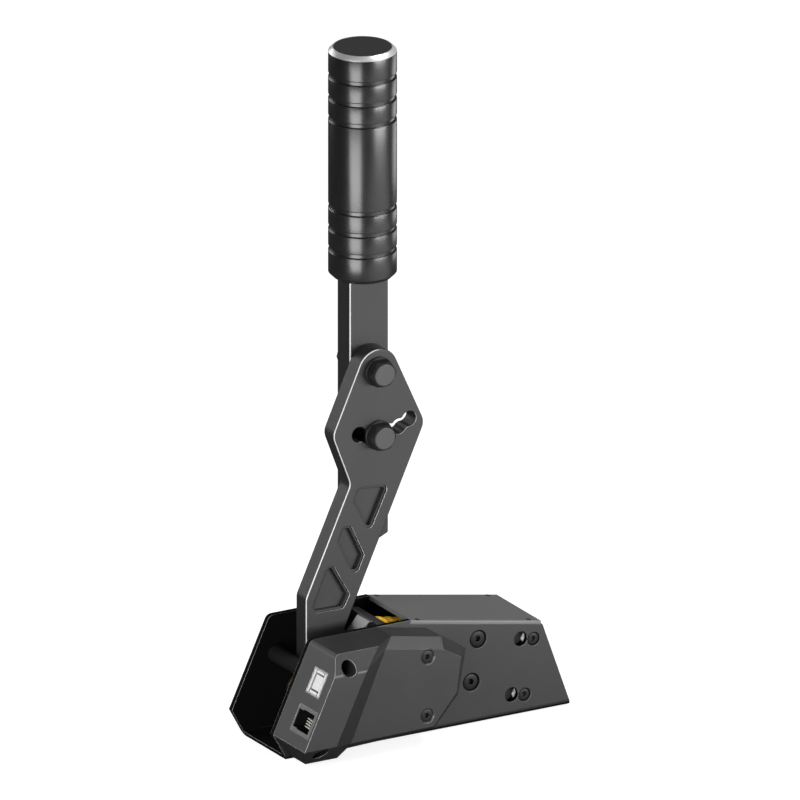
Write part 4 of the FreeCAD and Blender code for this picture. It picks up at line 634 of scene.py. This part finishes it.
# Electronics housing: moulded black plastic with a fine satin texture, screwed to the near
# plate. Its side carries a plain raised panel, and its front face the two ports.
# Its edges carry a painted highlight where they face forwards and up.
housing_plastic = finish("housing_plastic", (0.018, 0.018, 0.0185), (0.60, 0.60, 0.61),
                         roughness=0.43, edge_roughness=0.25, pebble=0.00045, cloud=0.06,
                         relief=0.00001, edge_radius=0.0004, painted_edge_share=0.9)
dress(housing_plastic, "electronics_housing")
panel_screw = socket_screw(head_r=0.0034, shank_r=0.0020, length=0.0228, socket=0.0025)
panel_screws = [grid_mesh("panel_screw", aimed(panel_screw, (x, -0.0426, z), (0, -1, 0)))
                for x, z in ((-0.0124, 0.0496), (-0.0127, 0.0181))]
joined("panel_screws", panel_screws, black_oxide, "base", "black_steel", "housing_panel_screws")
dress(black_oxide, "housing_deep_screws")

# Circuit board: green lacquered glass fibre on four spacers, with the angle sensor facing
# the magnet and a controller chip.
board_green = finish("board_green", (0.008, 0.09, 0.035), (0.25, 0.22, 0.10), roughness=0.3)
dress(board_green, "circuit_board")
chip_black = finish("chip_black", (0.02, 0.02, 0.02), (0.08, 0.08, 0.08), roughness=0.45)
dress(chip_black, "angle_sensor", "controller_chip")
spacer_white = finish("spacer_white", (0.75, 0.74, 0.70), (0.85, 0.84, 0.80), roughness=0.45)
dress(spacer_white, "board_spacers")
dress(nut_zinc, "board_screws")

# Ports: a square socket with a nickel plated shell round a white insulator, and below it a
# grey modular jack with four gold plated wires.
port_nickel = finish("port_nickel", (0.30, 0.30, 0.29), (0.60, 0.60, 0.58), roughness=0.3, cloud=0.15,
                     metallic=1.0, edge_radius=0.00015)
dress(port_nickel, "usb_socket")
insulator_white = finish("insulator_white", (0.82, 0.82, 0.80), (0.9, 0.9, 0.9), roughness=0.4,
                         edge_radius=0.0002, cloud=0.05)
insulator = insulator_white.node_tree
socket_place = insulator.nodes.new("ShaderNodeTexCoord")
socket_axes = wired(insulator, "ShaderNodeSeparateXYZ", {"Vector": socket_place.outputs["Object"]})
# Painted shade: two dark bands on the insulator stand for the shade in the gaps round its tongue.
socket_middle, gap_place = 0.04145, 0.0038
last = socket_axes.outputs["Y"]
for operation, value in (("ADD", socket_middle), ("ABSOLUTE", 0), ("SUBTRACT", gap_place), ("ABSOLUTE", 0)):
    last = maths(insulator, operation, last, value)
insulator_gap_shade = wired(insulator, "ShaderNodeMapRange", {"Value": last, "From Min": 0.00043, "From Max": 0.00047,
                                                     "To Min": 0.15, "To Max": 0.62})
insulator.links.new(insulator_gap_shade.outputs["Result"], insulator.nodes["Group"].inputs["Colour"])
dress(insulator_white, "usb_insulator")
jack_grey = finish("jack_grey", (0.13, 0.13, 0.13), (0.25, 0.25, 0.25), roughness=0.4,
                   edge_radius=0.0002)
lean, rise = 0.90631, 0.42262
jack = jack_grey.node_tree
# Painted shade: the jack is near black deeper than its front face, as the shade in its cavity.
jack_place = jack.nodes.new("ShaderNodeTexCoord")
jack_height = wired(jack, "ShaderNodeVectorMath", {0: jack_place.outputs["Object"], 1: (-lean, 0, rise)},
                    "DOT_PRODUCT")
jack_cavity_shade = wired(jack, "ShaderNodeMapRange", {"Value": jack_height.outputs["Value"], "From Min": 0.0884,
                                               "From Max": 0.0891, "To Min": 0.004, "To Max": 0.08})
jack.links.new(jack_cavity_shade.outputs["Result"], jack.nodes["Group"].inputs["Colour"])
dress(jack_grey, "modular_jack")


def front_place(outward, down, depth):
    """A point of the slanted front from its distance outwards, down the slant and inwards."""
    return np.array((-0.069083 - rise * down + lean * depth, -0.0225 - outward,
                     0.0628 - lean * down - rise * depth))


wire_r, wire_pitch = 0.0003, 0.0014
wire_meshes = []
for down in 0.03785 + wire_pitch * (np.arange(4) - 1.5):
    wire_line = [front_place(0.0277, down, 0.0004), front_place(0.0209, down, 0.0018),
                 front_place(0.0190, down, 0.0110)]
    for low, high in zip(wire_line, wire_line[1:]):
        reach = np.linalg.norm(high - low)
        rod = turned_rows([(0, 0), (wire_r, 0), (wire_r, reach), (0, reach)], 16)
        wire_meshes.append(grid_mesh("wire", aimed(rod, low, high - low)))
contact_gold = finish("contact_gold", (0.62, 0.58, 0.50), (0.8, 0.76, 0.68), roughness=0.3, metallic=0.3,
                      edge_radius=0.0001)
joined("jack_wires", wire_meshes, contact_gold, "base", "gold", "jack_contacts")
